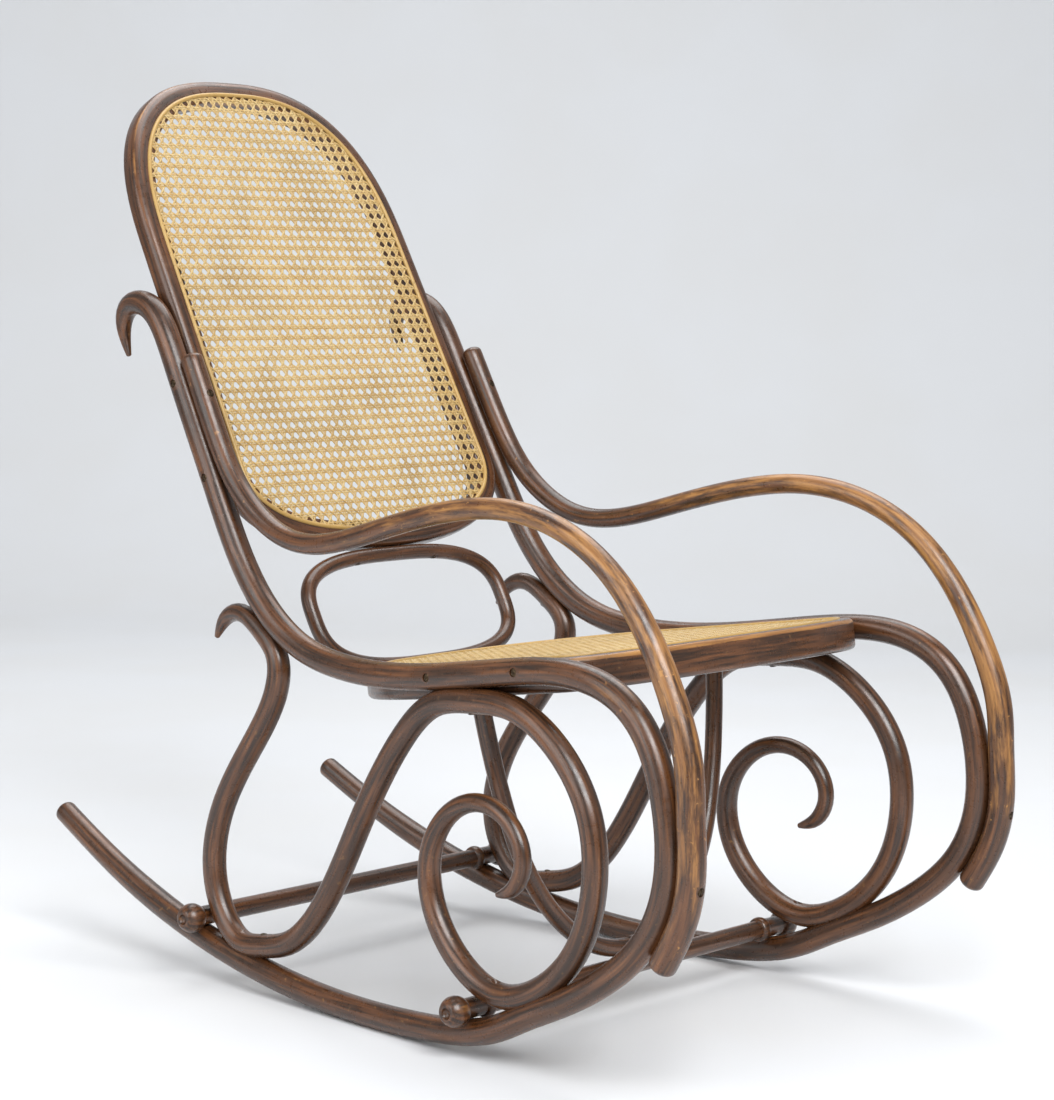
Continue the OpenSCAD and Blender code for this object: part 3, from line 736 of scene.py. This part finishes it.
OUT = unit(place(np.zeros(2), 1) - place(np.zeros(2)))
ARM_SCREWS = [
    in_frame(RAIL.beside(5.75, -RAIL_R - TOUCH - BEND - 2 * ARM_R), side_of(5.75)),
    in_frame(RAIL.beside(19.95, -RAIL_R - TOUCH - BEND - 2 * ARM_FOOT_R), side_of(19.95)),
]
SCROLL_SCREWS = [
    in_frame(RAIL.beside(u, RAIL_R + TOUCH + BEND + d), -side_of(u))
    for u, d in ((9.3, 2 * scroll_radius(3)), (14, 26), (24.35, 26), (28.36, 26))
]
BACK_SCREWS = [(place(RAIL.at(u), RAIL_R), -OUT) for u in (5.3, 6.9)]
SEAT_SCREWS = [(place(RAIL.at(u), RAIL_R), -OUT) for u in (13.3, 15.1)]
STRETCHER_SCREWS = [in_frame(RAIL.beside(u, -RAIL_R), side_of(u)) for u in (FRONT_U, REAR_U)]
RING_DROP = (RING_H / 2 - RING_R) * (1 - (62 / (RING_W / 2 - RING_R)) ** 3) ** (1 / 3)
RING_SCREWS = [(BACK.point(x, RING_MID + RING_DROP - RING_R), back_along) for x in (-62, 62)]
RING_FOOT_SCREWS = [
    (BACK.point(x, RING_LOW) - RING_R * seat_along, seat_along) for x in (-45, 45)
]
BRACE_SCREWS = [(brace_foot + BRACE_R * seat_up, -seat_up)]


def flip(screws):
    m = np.array([-1, 1, 1])
    return [(p * m, d * m) for p, d in screws]


def both(screws):
    return screws + flip(screws)


def drill(o, screws, depth=2.6):
    """Cuts the flat-bottomed recess of each screw head into a piece."""
    verts, faces, n = [], [], 24
    for p, d in screws:
        side = unit(np.cross(d, [0.3, 0.8, 0.52]))
        other = np.cross(d, side)
        base = len(verts)
        for level in (-8.0, depth):
            for k in range(n):
                a = 2 * math.pi * k / n
                q = p + (SCREW_R + 0.3) * (math.cos(a) * side + math.sin(a) * other) + level * d
                verts.append(tuple(q / 1000))
        faces.append([base + k for k in reversed(range(n))])
        faces.append([base + n + k for k in range(n)])
        for k in range(n):
            j = (k + 1) % n
            faces.append([base + k, base + j, base + n + j, base + n + k])
    mesh = bpy.data.meshes.new("drill")
    mesh.from_pydata(verts, [], faces)
    name = o.name
    o.name = name + "_whole"
    return cut_away(name, o, new_object("drill", mesh), 42)


# ---- pieces ----------------------------------------------------------------------------
def rounded_ends(us, radius, curve):
    """Points and radii along a rod whose ends are rounded over like a dome."""
    points, radii = [], []
    for u0, sign, keep in ((0, -1, slice(None)), (curve.last, 1, slice(None, None, -1))):
        r = radius(u0)
        cap = [
            (curve.at(u0) + sign * 0.6 * r * math.sin(q) * curve.tangent(u0), r * math.cos(q))
            for q in (math.radians(a) for a in (88, 78, 64, 48, 32, 16))
        ][keep]
        points.append([c[0] for c in cap])
        radii.append([c[1] for c in cap])
    middle = [curve.at(u) for u in us]
    return points[0] + middle + points[1], radii[0] + [radius(u) for u in us] + radii[1]


def bent_rod(name, curve, radius, mirror, wear, slot, material, screws):
    us = curve.params()
    flat, radii = rounded_ends(us, radius, curve)
    sign = np.array([-1 if mirror else 1, 1, 1])
    line = [place(p) * sign for p in flat]
    worn = [wear(u) for u in [0] * 6 + list(us) + [curve.last] * 6]
    # the right side is cut from another length of wood than the left
    o = swept(name, line, False, radii, worn, material, 7.3 if mirror else 0)
    return finish_piece(drill(o, flip(screws) if mirror else screws), slot, name)


def swept(name, line, closed, radii, worn, material, start=0.0):
    """A round rod along a line of points, with its grain."""
    sides = settings()[0].sides
    along = lengths(line, closed) / 1000 + start
    values = {"girth": np.array(radii) / 1000, "along": along, "worn": worn}
    mesh = line_mesh(name, [line], closed, values)
    o = through(name, mesh, tree_once(rod_tree), {"Sides": sides, "Material": finish(material)})
    grain_of_rod(o, sides)
    return o


_trees = {}


def tree_once(maker):
    """The geometry tree that maker builds, built once."""
    if maker not in _trees:
        _trees[maker] = maker()
    return _trees[maker]


def bump_at(u, centre, width):
    return math.exp(-(((u - centre) / width) ** 2))


def rail_wear(u):
    return 0.12 + 0.2 * bump_at(u, 17.5, 1.5) + 0.1 * bump_at(u, 27, 3.5) + 0.12 * bump_at(u, 2, 2)


def arm_wear(u):
    return 0.2 + 0.5 * ease((u - 4.5) / 5) * (1 - 0.6 * ease((u - 13) / 4))


def scroll_wear(u):
    return 0.12 + 0.1 * bump_at(u, 27, 3)


def loop_rod(name, points, radius, material, worn=0.15):
    """A closed rod along a loop of points."""
    n = len(points)
    return swept(name, points, True, [radius] * n, [worn] * n, material)


def rim_section(rim, thick, at, edge):
    """Rounded bar with a spline groove, as inset and height pairs."""
    r = 5.5
    g = SPLINE_D / 2 + 0.1
    arc = [math.radians(a) for a in (0, 18, 36, 54, 72, 90)]
    top_out = [(edge - edge * math.cos(a), -edge + edge * math.sin(a)) for a in arc]
    groove = [(at - g, 0), (at - g, -3), (at + g, -3), (at + g, -1.4)]
    inner = 2.5
    top_in = [(rim - inner + inner * math.sin(a), -1.4 - inner + inner * math.cos(a)) for a in arc]
    low_in = [(rim - inner + inner * math.cos(a), inner - thick - inner * math.sin(a)) for a in arc]
    low_out = [(r - r * math.sin(a), r - thick - r * math.cos(a)) for a in arc]
    return top_out + groove + top_in + low_in + low_out


def wooden(name, verts, faces, straight, worn, angle):
    """A closed piece of varnished wood from its points, faces, grain and wear."""
    mesh = bpy.data.meshes.new(name)
    mesh.from_pydata(verts, [], faces)
    store(mesh, "straight", straight)
    store(mesh, "worn", worn)
    outward(mesh)
    shade(mesh, angle)
    mesh.materials.append(finish("stained_beech_varnished"))
    return new_object(name, mesh)


def caned_rim(name, panel, rim, thick, at, wear):
    """The wooden ring of a caned panel, swept round its outline."""
    section = rim_section(rim, thick, at, BACK_EDGE if panel is BACK else SEAT_EDGE)
    m = len(section)
    rings = [panel.outline(inset) for inset, _ in section]
    n = len(rings[0])
    lift = thick / 2 if panel is BACK else 0
    along = lengths(rings[0], True)
    verts, straight, worn = [], [], []
    for i in range(n):
        for k, (inset, h) in enumerate(section):
            x, v = rings[k][i]
            verts.append(tuple(panel.point(x, v, h + lift) / 1000))
            straight.append((along[i] / 1000, inset / 1000, h / 1000))
            edge = 1.0 if (inset < 3 or abs(inset - rim) < 1.5) and h > -5 else 0.15
            worn.append(edge * wear(x, v))
    faces = [
        [i * m + k, ((i + 1) % n) * m + k, ((i + 1) % n) * m + (k + 1) % m, i * m + (k + 1) % m]
        for i in range(n)
        for k in range(m)
    ]
    return wooden(name, verts, faces, straight, worn, 38)


def outward(mesh):
    """Turns the faces of a closed mesh outwards."""
    n = len(mesh.vertices)
    co = np.zeros(n * 3)
    mesh.vertices.foreach_get("co", co)
    co = co.reshape(-1, 3)
    volume = 0.0
    for f in mesh.polygons:
        a = co[f.vertices[0]]
        for i in range(1, len(f.vertices) - 1):
            volume += a @ np.cross(co[f.vertices[i]], co[f.vertices[i + 1]])
    if volume < 0:
        mesh.flip_normals()


def clipped(panel, inset):
    """A function giving where a straight line in the panel's plane is inside the outline."""
    poly = panel.outline(inset)
    nxt = np.roll(poly, -1, axis=0)

    def span(p, d):
        normal = np.array([-d[1], d[0]])
        a = (poly - p) @ normal
        b = (nxt - p) @ normal
        hit = (a > 0) != (b > 0)
        if hit.sum() < 2:
            return None
        t = a[hit] / (a[hit] - b[hit])
        q = poly[hit] + t[:, None] * (nxt[hit] - poly[hit])
        s = (q - p) @ d
        return s.min(), s.max()

    return span


def cane_lines(panel, at, pitch, pair):
    """Strands of the six-way weave: name to lists of (x, v, height) points in the panel."""
    span = clipped(panel, at - 0.6)
    cols = int(panel.half(0) / pitch) + 2
    v0 = (panel.low + panel.high) / 2
    rows = int((panel.high - panel.low) / 2 / pitch) + 2
    deep, wave = -0.85, 0.42
    sets = {"upright": [], "level": [], "rising": [], "falling": []}

    def laid(p, d, marks):
        """One strand: marks are (distance, height) pairs; its ends turn down into the groove."""
        found = span(p, d)
        if found is None or found[1] - found[0] < 12:
            return None
        a, b = found
        inner = [(s, h) for s, h in marks if a + 3.2 < s < b - 3.2]
        ends = [(a, -3.0), (a + 1.2, -1.0)], [(b - 1.2, -1.0), (b, -3.0)]
        return [(p[0] + s * d[0], p[1] + s * d[1], h) for s, h in ends[0] + inner + ends[1]]

    def crossing_marks(k, count):
        marks = []
        for j in range(-count, count + 1):
            base = j * pitch
            for off, h in ((-3.6, 0), (-pair, wave), (pair, -wave), (3.6, 0), (pitch / 2, 0)):
                marks.append((base + off, deep + (h if k == 0 else -h)))
        return marks

    for i in range(-cols, cols + 1):
        for k in (0, 1):
            line = laid(
                np.array([i * pitch + (pair if k else -pair), v0]), np.array([0.0, 1.0]),
                crossing_marks(k, rows),
            )
            if line:
                sets["upright"].append(line)
    for j in range(-rows, rows + 1):
        for k in (0, 1):
            line = laid(
                np.array([0.0, v0 + j * pitch + (pair if k else -pair)]), np.array([1.0, 0.0]),
                [(s, 2 * deep - h) for s, h in crossing_marks(k, cols)],
            )
            if line:
                sets["level"].append(line)
    root = math.sqrt(0.5)
    reach = cols + rows + 2
    for key, slope in (("rising", 1), ("falling", -1)):
        d = np.array([root, slope * root])
        for k in range(-reach, reach + 1):
            p = np.array([0.0, v0 + (k + 0.5) * pitch])
            marks = []
            for q in range(-4 * reach, 4 * reach + 1):
                x = q * pitch / 4
                height = 0.95 * math.cos(2 * math.pi * x / pitch) * slope
                marks.append((x / root, deep + height))
            line = laid(p, d, marks)
            if line:
                sets[key].append(line)
    return sets


def spline_loop(panel, at):
    lift = BACK_T / 2 if panel is BACK else 0
    return [panel.point(x, v, lift - 0.55) for x, v in panel.outline(at)]


def turned_bar(name, axis):
    """A lathe-turned bar along X: plain middle, bead, neck and a ball with a dimple."""
    half = half_at(axis[0]) + BALL_OUT
    bead = half - BALL_OUT - RAIL_R - 7
    end = half + BALL_R * 0.84
    side = [(0.0, STRETCHER_R)]
    side += [(bead - 8.5, STRETCHER_R)]
    for k in range(17):
        a = math.radians(-88 + 11 * k)
        side.append((bead + 6.5 * math.sin(a), STRETCHER_R + (BEAD_R - STRETCHER_R) * math.cos(a)))
    side += [(bead + 8.5, STRETCHER_R), (half - BALL_R * 0.76, STRETCHER_R)]
    start = math.asin(STRETCHER_R / BALL_R) - math.pi / 2
    for k in range(25):
        a = mix(start, math.radians(57), k / 24)
        side.append((half + BALL_R * math.sin(a), BALL_R * math.cos(a)))
    side += [(end, BALL_R * 0.46), (end, BALL_R * 0.36)]
    side += [(end - 1.5, BALL_R * 0.33), (end - 3.4, BALL_R * 0.22), (end - 4.2, BALL_R * 0.06)]
    profile = [(-x, r) for x, r in reversed(side[1:])] + side
    n = 48
    y, z = axis[0] * math.cos(SPLAY) - MID_Y, axis[1] + RAIL_R
    verts, straight, worn, faces = [], [], [], []
    for x, r in profile:
        for k in range(n):
            a = 2 * math.pi * k / n
            verts.append((x / 1000, (y + r * math.cos(a)) / 1000, (z + r * math.sin(a)) / 1000))
            straight.append((x / 1000, r * math.cos(a) / 1000, r * math.sin(a) / 1000))
            worn.append(0.3 if r > BEAD_R - 2 else 0.15)
    m = len(profile)
    for i in range(m - 1):
        for k in range(n):
            j = (k + 1) % n
            faces.append([i * n + k, (i + 1) * n + k, (i + 1) * n + j, i * n + j])
    faces.append(list(range(n)))
    faces.append([(m - 1) * n + k for k in reversed(range(n))])
    return wooden(name, verts, faces, straight, worn, 42)


def screw_head_mesh():
    """A countersunk slotted screw head, domed a little, pointing along +Z at its face."""
    n, r = 32, SCREW_R - 0.1
    rings = [(r * 0.5, -3.2), (r, -1.6), (r, -1.25), (r * 0.93, -1.0), (r * 0.6, -0.7), (r * 0.2, -0.55)]
    verts, faces = [], []
    for radius, z in rings:
        for k in range(n):
            a = 2 * math.pi * k / n
            verts.append((radius * math.cos(a) / 1000, radius * math.sin(a) / 1000, z / 1000))
    for i in range(len(rings) - 1):
        for k in range(n):
            j = (k + 1) % n
            faces.append([i * n + k, i * n + j, (i + 1) * n + j, (i + 1) * n + k])
    faces.append([k for k in reversed(range(n))])
    faces.append([(len(rings) - 1) * n + k for k in range(n)])
    mesh = bpy.data.meshes.new("screw_head")
    mesh.from_pydata(verts, [], faces)
    head = new_object("screw_head", mesh)
    box = bpy.data.meshes.new("slot")
    w, l, low, high = 0.45, 6.0, -1.6, 1.0
    corners = [(x / 1000, y / 1000, z / 1000) for z in (low, high) for y in (-l, l) for x in (-w, w)]
    box.from_pydata(
        corners, [],
        [(0, 2, 3, 1), (4, 5, 7, 6), (0, 1, 5, 4), (2, 6, 7, 3), (0, 4, 6, 2), (1, 3, 7, 5)],
    )
    cutter = new_object("slot", box)
    return cut_away("screw_head_cut", head, cutter, 35)


def screw_tree():
    """Sets one screw head on each point, turned to the point's value named facing."""
    inputs = [("Head", "NodeSocketObject"), ("Material", "NodeSocketMaterial")]
    tree, ids = geometry_tree("screw_set", inputs)
    gin = tree.nodes.new("NodeGroupInput")
    head = add(tree, "GeometryNodeObjectInfo", {"Object": gin.outputs["Head"]})
    facing = add(
        tree, "GeometryNodeInputNamedAttribute", {"Name": "facing"}, data_type="FLOAT_VECTOR"
    )
    turn = add(tree, "FunctionNodeAlignRotationToVector", {"Vector": facing.outputs[0]}, axis="Z")
    points = add(tree, "GeometryNodeMeshToPoints", {"Mesh": gin.outputs["Geometry"]})
    set_on = add(
        tree, "GeometryNodeInstanceOnPoints",
        {
            "Points": points.outputs[0],
            "Instance": head.outputs["Geometry"],
            "Rotation": turn.outputs[0],
        },
    )
    close_tree(tree, set_on.outputs[0], gin.outputs["Material"])
    return tree, ids


# ---- operators ---------------------------------------------------------------------------
class ROCKER_OT_side_frames(bpy.types.Operator):
    """Side rails with their rockers, armrests and scrolls, each one bent rod"""

    bl_idname = "rocker.side_frames"
    bl_label = "Side frames"

    def execute(self, context):
        for side, mirror in (("left", False), ("right", True)):
            bent_rod(
                f"side_rail_{side}", RAIL, rail_radius, mirror, rail_wear,
                "frame_wood", "stained_beech_varnished",
                BACK_SCREWS + SEAT_SCREWS + STRETCHER_SCREWS,
            )
            bent_rod(
                f"armrest_{side}", ARM, arm_radius, mirror, arm_wear,
                "arm_wood", "stained_beech_worn", ARM_SCREWS,
            )
            bent_rod(
                f"scroll_{side}", SCROLL, scroll_radius, mirror, scroll_wear,
                "frame_wood", "stained_beech_varnished", SCROLL_SCREWS,
            )
        return {"FINISHED"}


class ROCKER_OT_rims(bpy.types.Operator):
    """The wooden rings of the back and the seat"""

    bl_idname = "rocker.rims"
    bl_label = "Back and seat rims"

    def execute(self, context):
        def back_wear(x, v):
            return 0.35 + 0.3 * ease((v - 350) / 150)

        def seat_wear(x, v):
            return 0.45 + 0.55 * ease((v - 110) / 40)

        back = caned_rim("back_frame", BACK, BACK_RIM, BACK_T, BACK_SPLINE, back_wear)
        finish_piece(back, "frame_wood", "back_frame")
        seat = caned_rim("seat_frame", SEAT, SEAT_RIM, SEAT_T, SEAT_SPLINE, seat_wear)
        finish_piece(seat, "frame_wood", "seat_frame")
        return {"FINISHED"}


class ROCKER_OT_cane(bpy.types.Operator):
    """Six-way cane woven across the back and the seat"""

    bl_idname = "rocker.cane"
    bl_label = "Woven cane"

    def execute(self, context):
        cane = settings()[1]
        rng = np.random.default_rng(11)
        for name, panel, at, lift in (
            ("back", BACK, BACK_SPLINE, BACK_T / 2), ("seat", SEAT, SEAT_SPLINE, 0.0)
        ):
            sets = cane_lines(panel, at, cane.pitch * 1000, 1.35)
            for key, lines in sets.items():
                placed = [[panel.point(x, v, h + lift) for x, v, h in line] for line in lines]
                tints = np.concatenate([[rng.random()] * len(line) for line in lines])
                mesh = line_mesh(f"{name}_cane_{key}", placed, False, {"strand": tints})
                o = through(
                    f"{name}_cane_{key}", mesh, tree_once(strip_tree),
                    {
                        "Width": cane.strand, "Thickness": cane.thick, "Sides": 6,
                        "Panel Normal": tuple(panel.up),
                        "Material": finish(f"rattan_cane_{name}"),
                    },
                )
                finish_piece(o, "cane", f"{name}_cane")
        return {"FINISHED"}


class ROCKER_OT_splines(bpy.types.Operator):
    """Round reed that locks the cane into its grooves"""

    bl_idname = "rocker.splines"
    bl_label = "Reed splines"

    def execute(self, context):
        for name, panel, at in (("back", BACK, BACK_SPLINE), ("seat", SEAT, SEAT_SPLINE)):
            o = loop_rod(f"{name}_spline", spline_loop(panel, at), SPLINE_D / 2, "round_reed")
            finish_piece(o, "reed", f"{name}_spline")
        return {"FINISHED"}


class ROCKER_OT_ring_and_brace(bpy.types.Operator):
    """Lumbar ring below the back and the bent brace under the seat"""

    bl_idname = "rocker.ring_and_brace"
    bl_label = "Ring and brace"

    def execute(self, context):
        points = []
        for i in range(160):
            x, v = rounded_square(2 * math.pi * i / 160, 3)
            x, v = x * (RING_W / 2 - RING_R), v * (RING_H / 2 - RING_R)
            points.append(BACK.point(x, RING_MID + v))
        ring = loop_rod("lumbar_ring", points, RING_R, "stained_beech_varnished")
        ring = drill(ring, RING_SCREWS + RING_FOOT_SCREWS)
        finish_piece(ring, "frame_wood", "lumbar_ring")
        shares = [
            (1, 1), (0.97, 0.86), (0.925, 0.7), (0.865, 0.54),
            (0.78, 0.38), (0.65, 0.235), (0.47, 0.11), (0.24, 0.025), (0, 0),
        ]
        half = [(a * brace_half, b * brace_rise) for a, b in shares]
        curve = Curve(half + [(-x, z) for x, z in reversed(half[:-1])])
        us = curve.params(5)
        line = [
            brace_foot + np.array([p[0], 0, 0]) + p[1] * seat_up for p in (curve.at(u) for u in us)
        ]
        n = len(line)
        material = "stained_beech_varnished"
        o = swept("seat_brace", line, False, [BRACE_R] * n, [0.15] * n, material)
        o = drill(o, BRACE_SCREWS)
        finish_piece(o, "frame_wood", "seat_brace")
        return {"FINISHED"}


class ROCKER_OT_stretchers(bpy.types.Operator):
    """Turned stretchers with a bead and a ball at each end"""

    bl_idname = "rocker.stretchers"
    bl_label = "Stretchers"

    def execute(self, context):
        for name, axis in (("front_stretcher", FRONT_AXIS), ("rear_stretcher", REAR_AXIS)):
            finish_piece(turned_bar(name, axis), "frame_wood", name)
        return {"FINISHED"}


class ROCKER_OT_screws(bpy.types.Operator):
    """Slotted screw heads in their recesses"""

    bl_idname = "rocker.screws"
    bl_label = "Screws"

    def execute(self, context):
        head = screw_head_mesh()
        tree_ids = screw_tree()
        groups = {
            "arm_screws": both(ARM_SCREWS),
            "scroll_screws": both(SCROLL_SCREWS),
            "back_frame_screws": both(BACK_SCREWS),
            "lumbar_ring_screws": RING_SCREWS + RING_FOOT_SCREWS,
            "seat_frame_screws": both(SEAT_SCREWS),
            "stretcher_screws": both(STRETCHER_SCREWS),
            "brace_screws": BRACE_SCREWS,
        }
        for name, screws in groups.items():
            mesh = bpy.data.meshes.new(name)
            mesh.from_pydata([tuple(p / 1000) for p, _ in screws], [], [])
            store(mesh, "facing", [-d for _, d in screws])
            o = through(name, mesh, tree_ids, {"Head": head, "Material": finish("dull_steel")})
            finish_piece(o, "screws", name)
        bpy.data.objects.remove(head)
        return {"FINISHED"}


class ROCKER_OT_stage(bpy.types.Operator):
    """Plain floor, soft light and the camera"""

    bl_idname = "rocker.stage"
    bl_label = "Stage"

    def execute(self, context):
        stage = settings()[2]
        mesh = bpy.data.meshes.new("floor")
        size, curve, rise = 6.0, 1.2, 3.0
        profile = [(-size, 0.0), (size * 0.45, 0.0)]
        profile += [
            (size * 0.45 + curve * math.sin(a), curve - curve * math.cos(a))
            for a in (math.radians(6 * k) for k in range(1, 16))
        ]
        profile += [(size * 0.45 + curve, rise + curve)]
        aim = Vector((math.sin(math.radians(49.2)), math.cos(math.radians(49.2)), 0))
        across = Vector((aim.y, -aim.x, 0))
        verts = []
        for d, z in profile:
            for s in (-size * 1.3, size * 1.3):
                verts.append(aim * d + across * s + Vector((0, 0, z)))
        mesh.from_pydata(
            verts, [],
            [[2 * i, 2 * i + 1, 2 * i + 3, 2 * i + 2] for i in range(len(profile) - 1)],
        )
        mesh.polygons.foreach_set("use_smooth", [True] * len(mesh.polygons))
        mesh.materials.append(finish("plain_floor"))
        new_object("floor", mesh)
        world = bpy.data.worlds.new("studio")
        context.scene.world = world
        world.use_nodes = True
        background = world.node_tree.nodes["Background"]
        background.inputs[0].default_value = linear("eef0f2")
        background.inputs[1].default_value = 0.42
        lights = (
            ("key", (-1.6, -2.6, 2.9), 2.2, stage.light),
            ("fill", (-3.2, 0.6, 1.6), 2.4, stage.light * 0.3),
            ("top", (0.9, 0.6, 3.2), 2.6, stage.light * 0.45),
        )
        for name, at, size, power in lights:
            light = bpy.data.lights.new(name, "AREA")
            light.size = size
            light.energy = power
            o = bpy.data.objects.new(name, light)
            o.location = at
            o.rotation_euler = (Vector((0, 0, 0.45)) - Vector(at)).to_track_quat("-Z", "Y").to_euler()
            context.scene.collection.objects.link(o)
        context.scene.view_settings.view_transform = "Standard"
        self.camera(context)
        return {"FINISHED"}

    def camera(self, context):
        """The camera stands before the upright chair and rolls back with it."""
        eye = np.array([-2444.2, -2107.6, 742.8])
        target = np.array([0.0, 0.0, 466.0])
        centre = ARC_MID * math.cos(SPLAY)
        a, b = eye[1] - centre, eye[2] - ARC
        c, s = math.cos(LEAN), math.sin(LEAN)
        stand = (eye[0], centre + a * c + b * s - MID_Y, ARC - a * s + b * c + RAIL_R)
        data = bpy.data.cameras.new("camera")
        data.sensor_fit = "HORIZONTAL"
        data.sensor_width = 36.0
        data.lens = 102.25
        data.clip_end = 50
        o = bpy.data.objects.new("camera", data)
        facing = Vector(target - eye).to_track_quat("-Z", "Y").to_matrix()
        turn = Matrix.Rotation(-LEAN, 3, "X") @ facing
        o.matrix_world = Matrix.Translation(Vector(stand) / 1000) @ turn.to_4x4()
        context.scene.collection.objects.link(o)
        context.scene.camera = o


class ROCKER_PT_panel(bpy.types.Panel):
    """Lists the chair's pieces and settings"""

    bl_idname = "ROCKER_PT_panel"
    bl_label = "Rocking chair"
    bl_space_type = "VIEW_3D"
    bl_region_type = "UI"
    bl_category = "Rocker"

    def draw(self, context):
        for group in settings():
            for key in group.bl_rna.properties.keys():
                if key not in ("rna_type", "name"):
                    self.layout.prop(group, key)
        for operator in OPERATORS:
            self.layout.operator(operator.bl_idname)


OPERATORS = (
    ROCKER_OT_side_frames,
    ROCKER_OT_rims,
    ROCKER_OT_cane,
    ROCKER_OT_splines,
    ROCKER_OT_ring_and_brace,
    ROCKER_OT_stretchers,
    ROCKER_OT_screws,
    ROCKER_OT_stage,
)
CLASSES = (RockerWood, RockerCane, RockerStage) + OPERATORS + (ROCKER_PT_panel,)


def register():
    for c in CLASSES:
        bpy.utils.register_class(c)
    bpy.types.Scene.rocker_wood = bpy.props.PointerProperty(type=RockerWood)
    bpy.types.Scene.rocker_cane = bpy.props.PointerProperty(type=RockerCane)
    bpy.types.Scene.rocker_stage = bpy.props.PointerProperty(type=RockerStage)


def unregister():
    del bpy.types.Scene.rocker_wood
    del bpy.types.Scene.rocker_cane
    del bpy.types.Scene.rocker_stage
    for c in reversed(CLASSES):
        bpy.utils.unregister_class(c)


def main():
    register()
    bpy.ops.rocker.side_frames()
    bpy.ops.rocker.rims()
    bpy.ops.rocker.cane()
    bpy.ops.rocker.splines()
    bpy.ops.rocker.ring_and_brace()
    bpy.ops.rocker.stretchers()
    bpy.ops.rocker.screws()
    bpy.ops.rocker.stage()


if __name__ == "__main__":
    main()
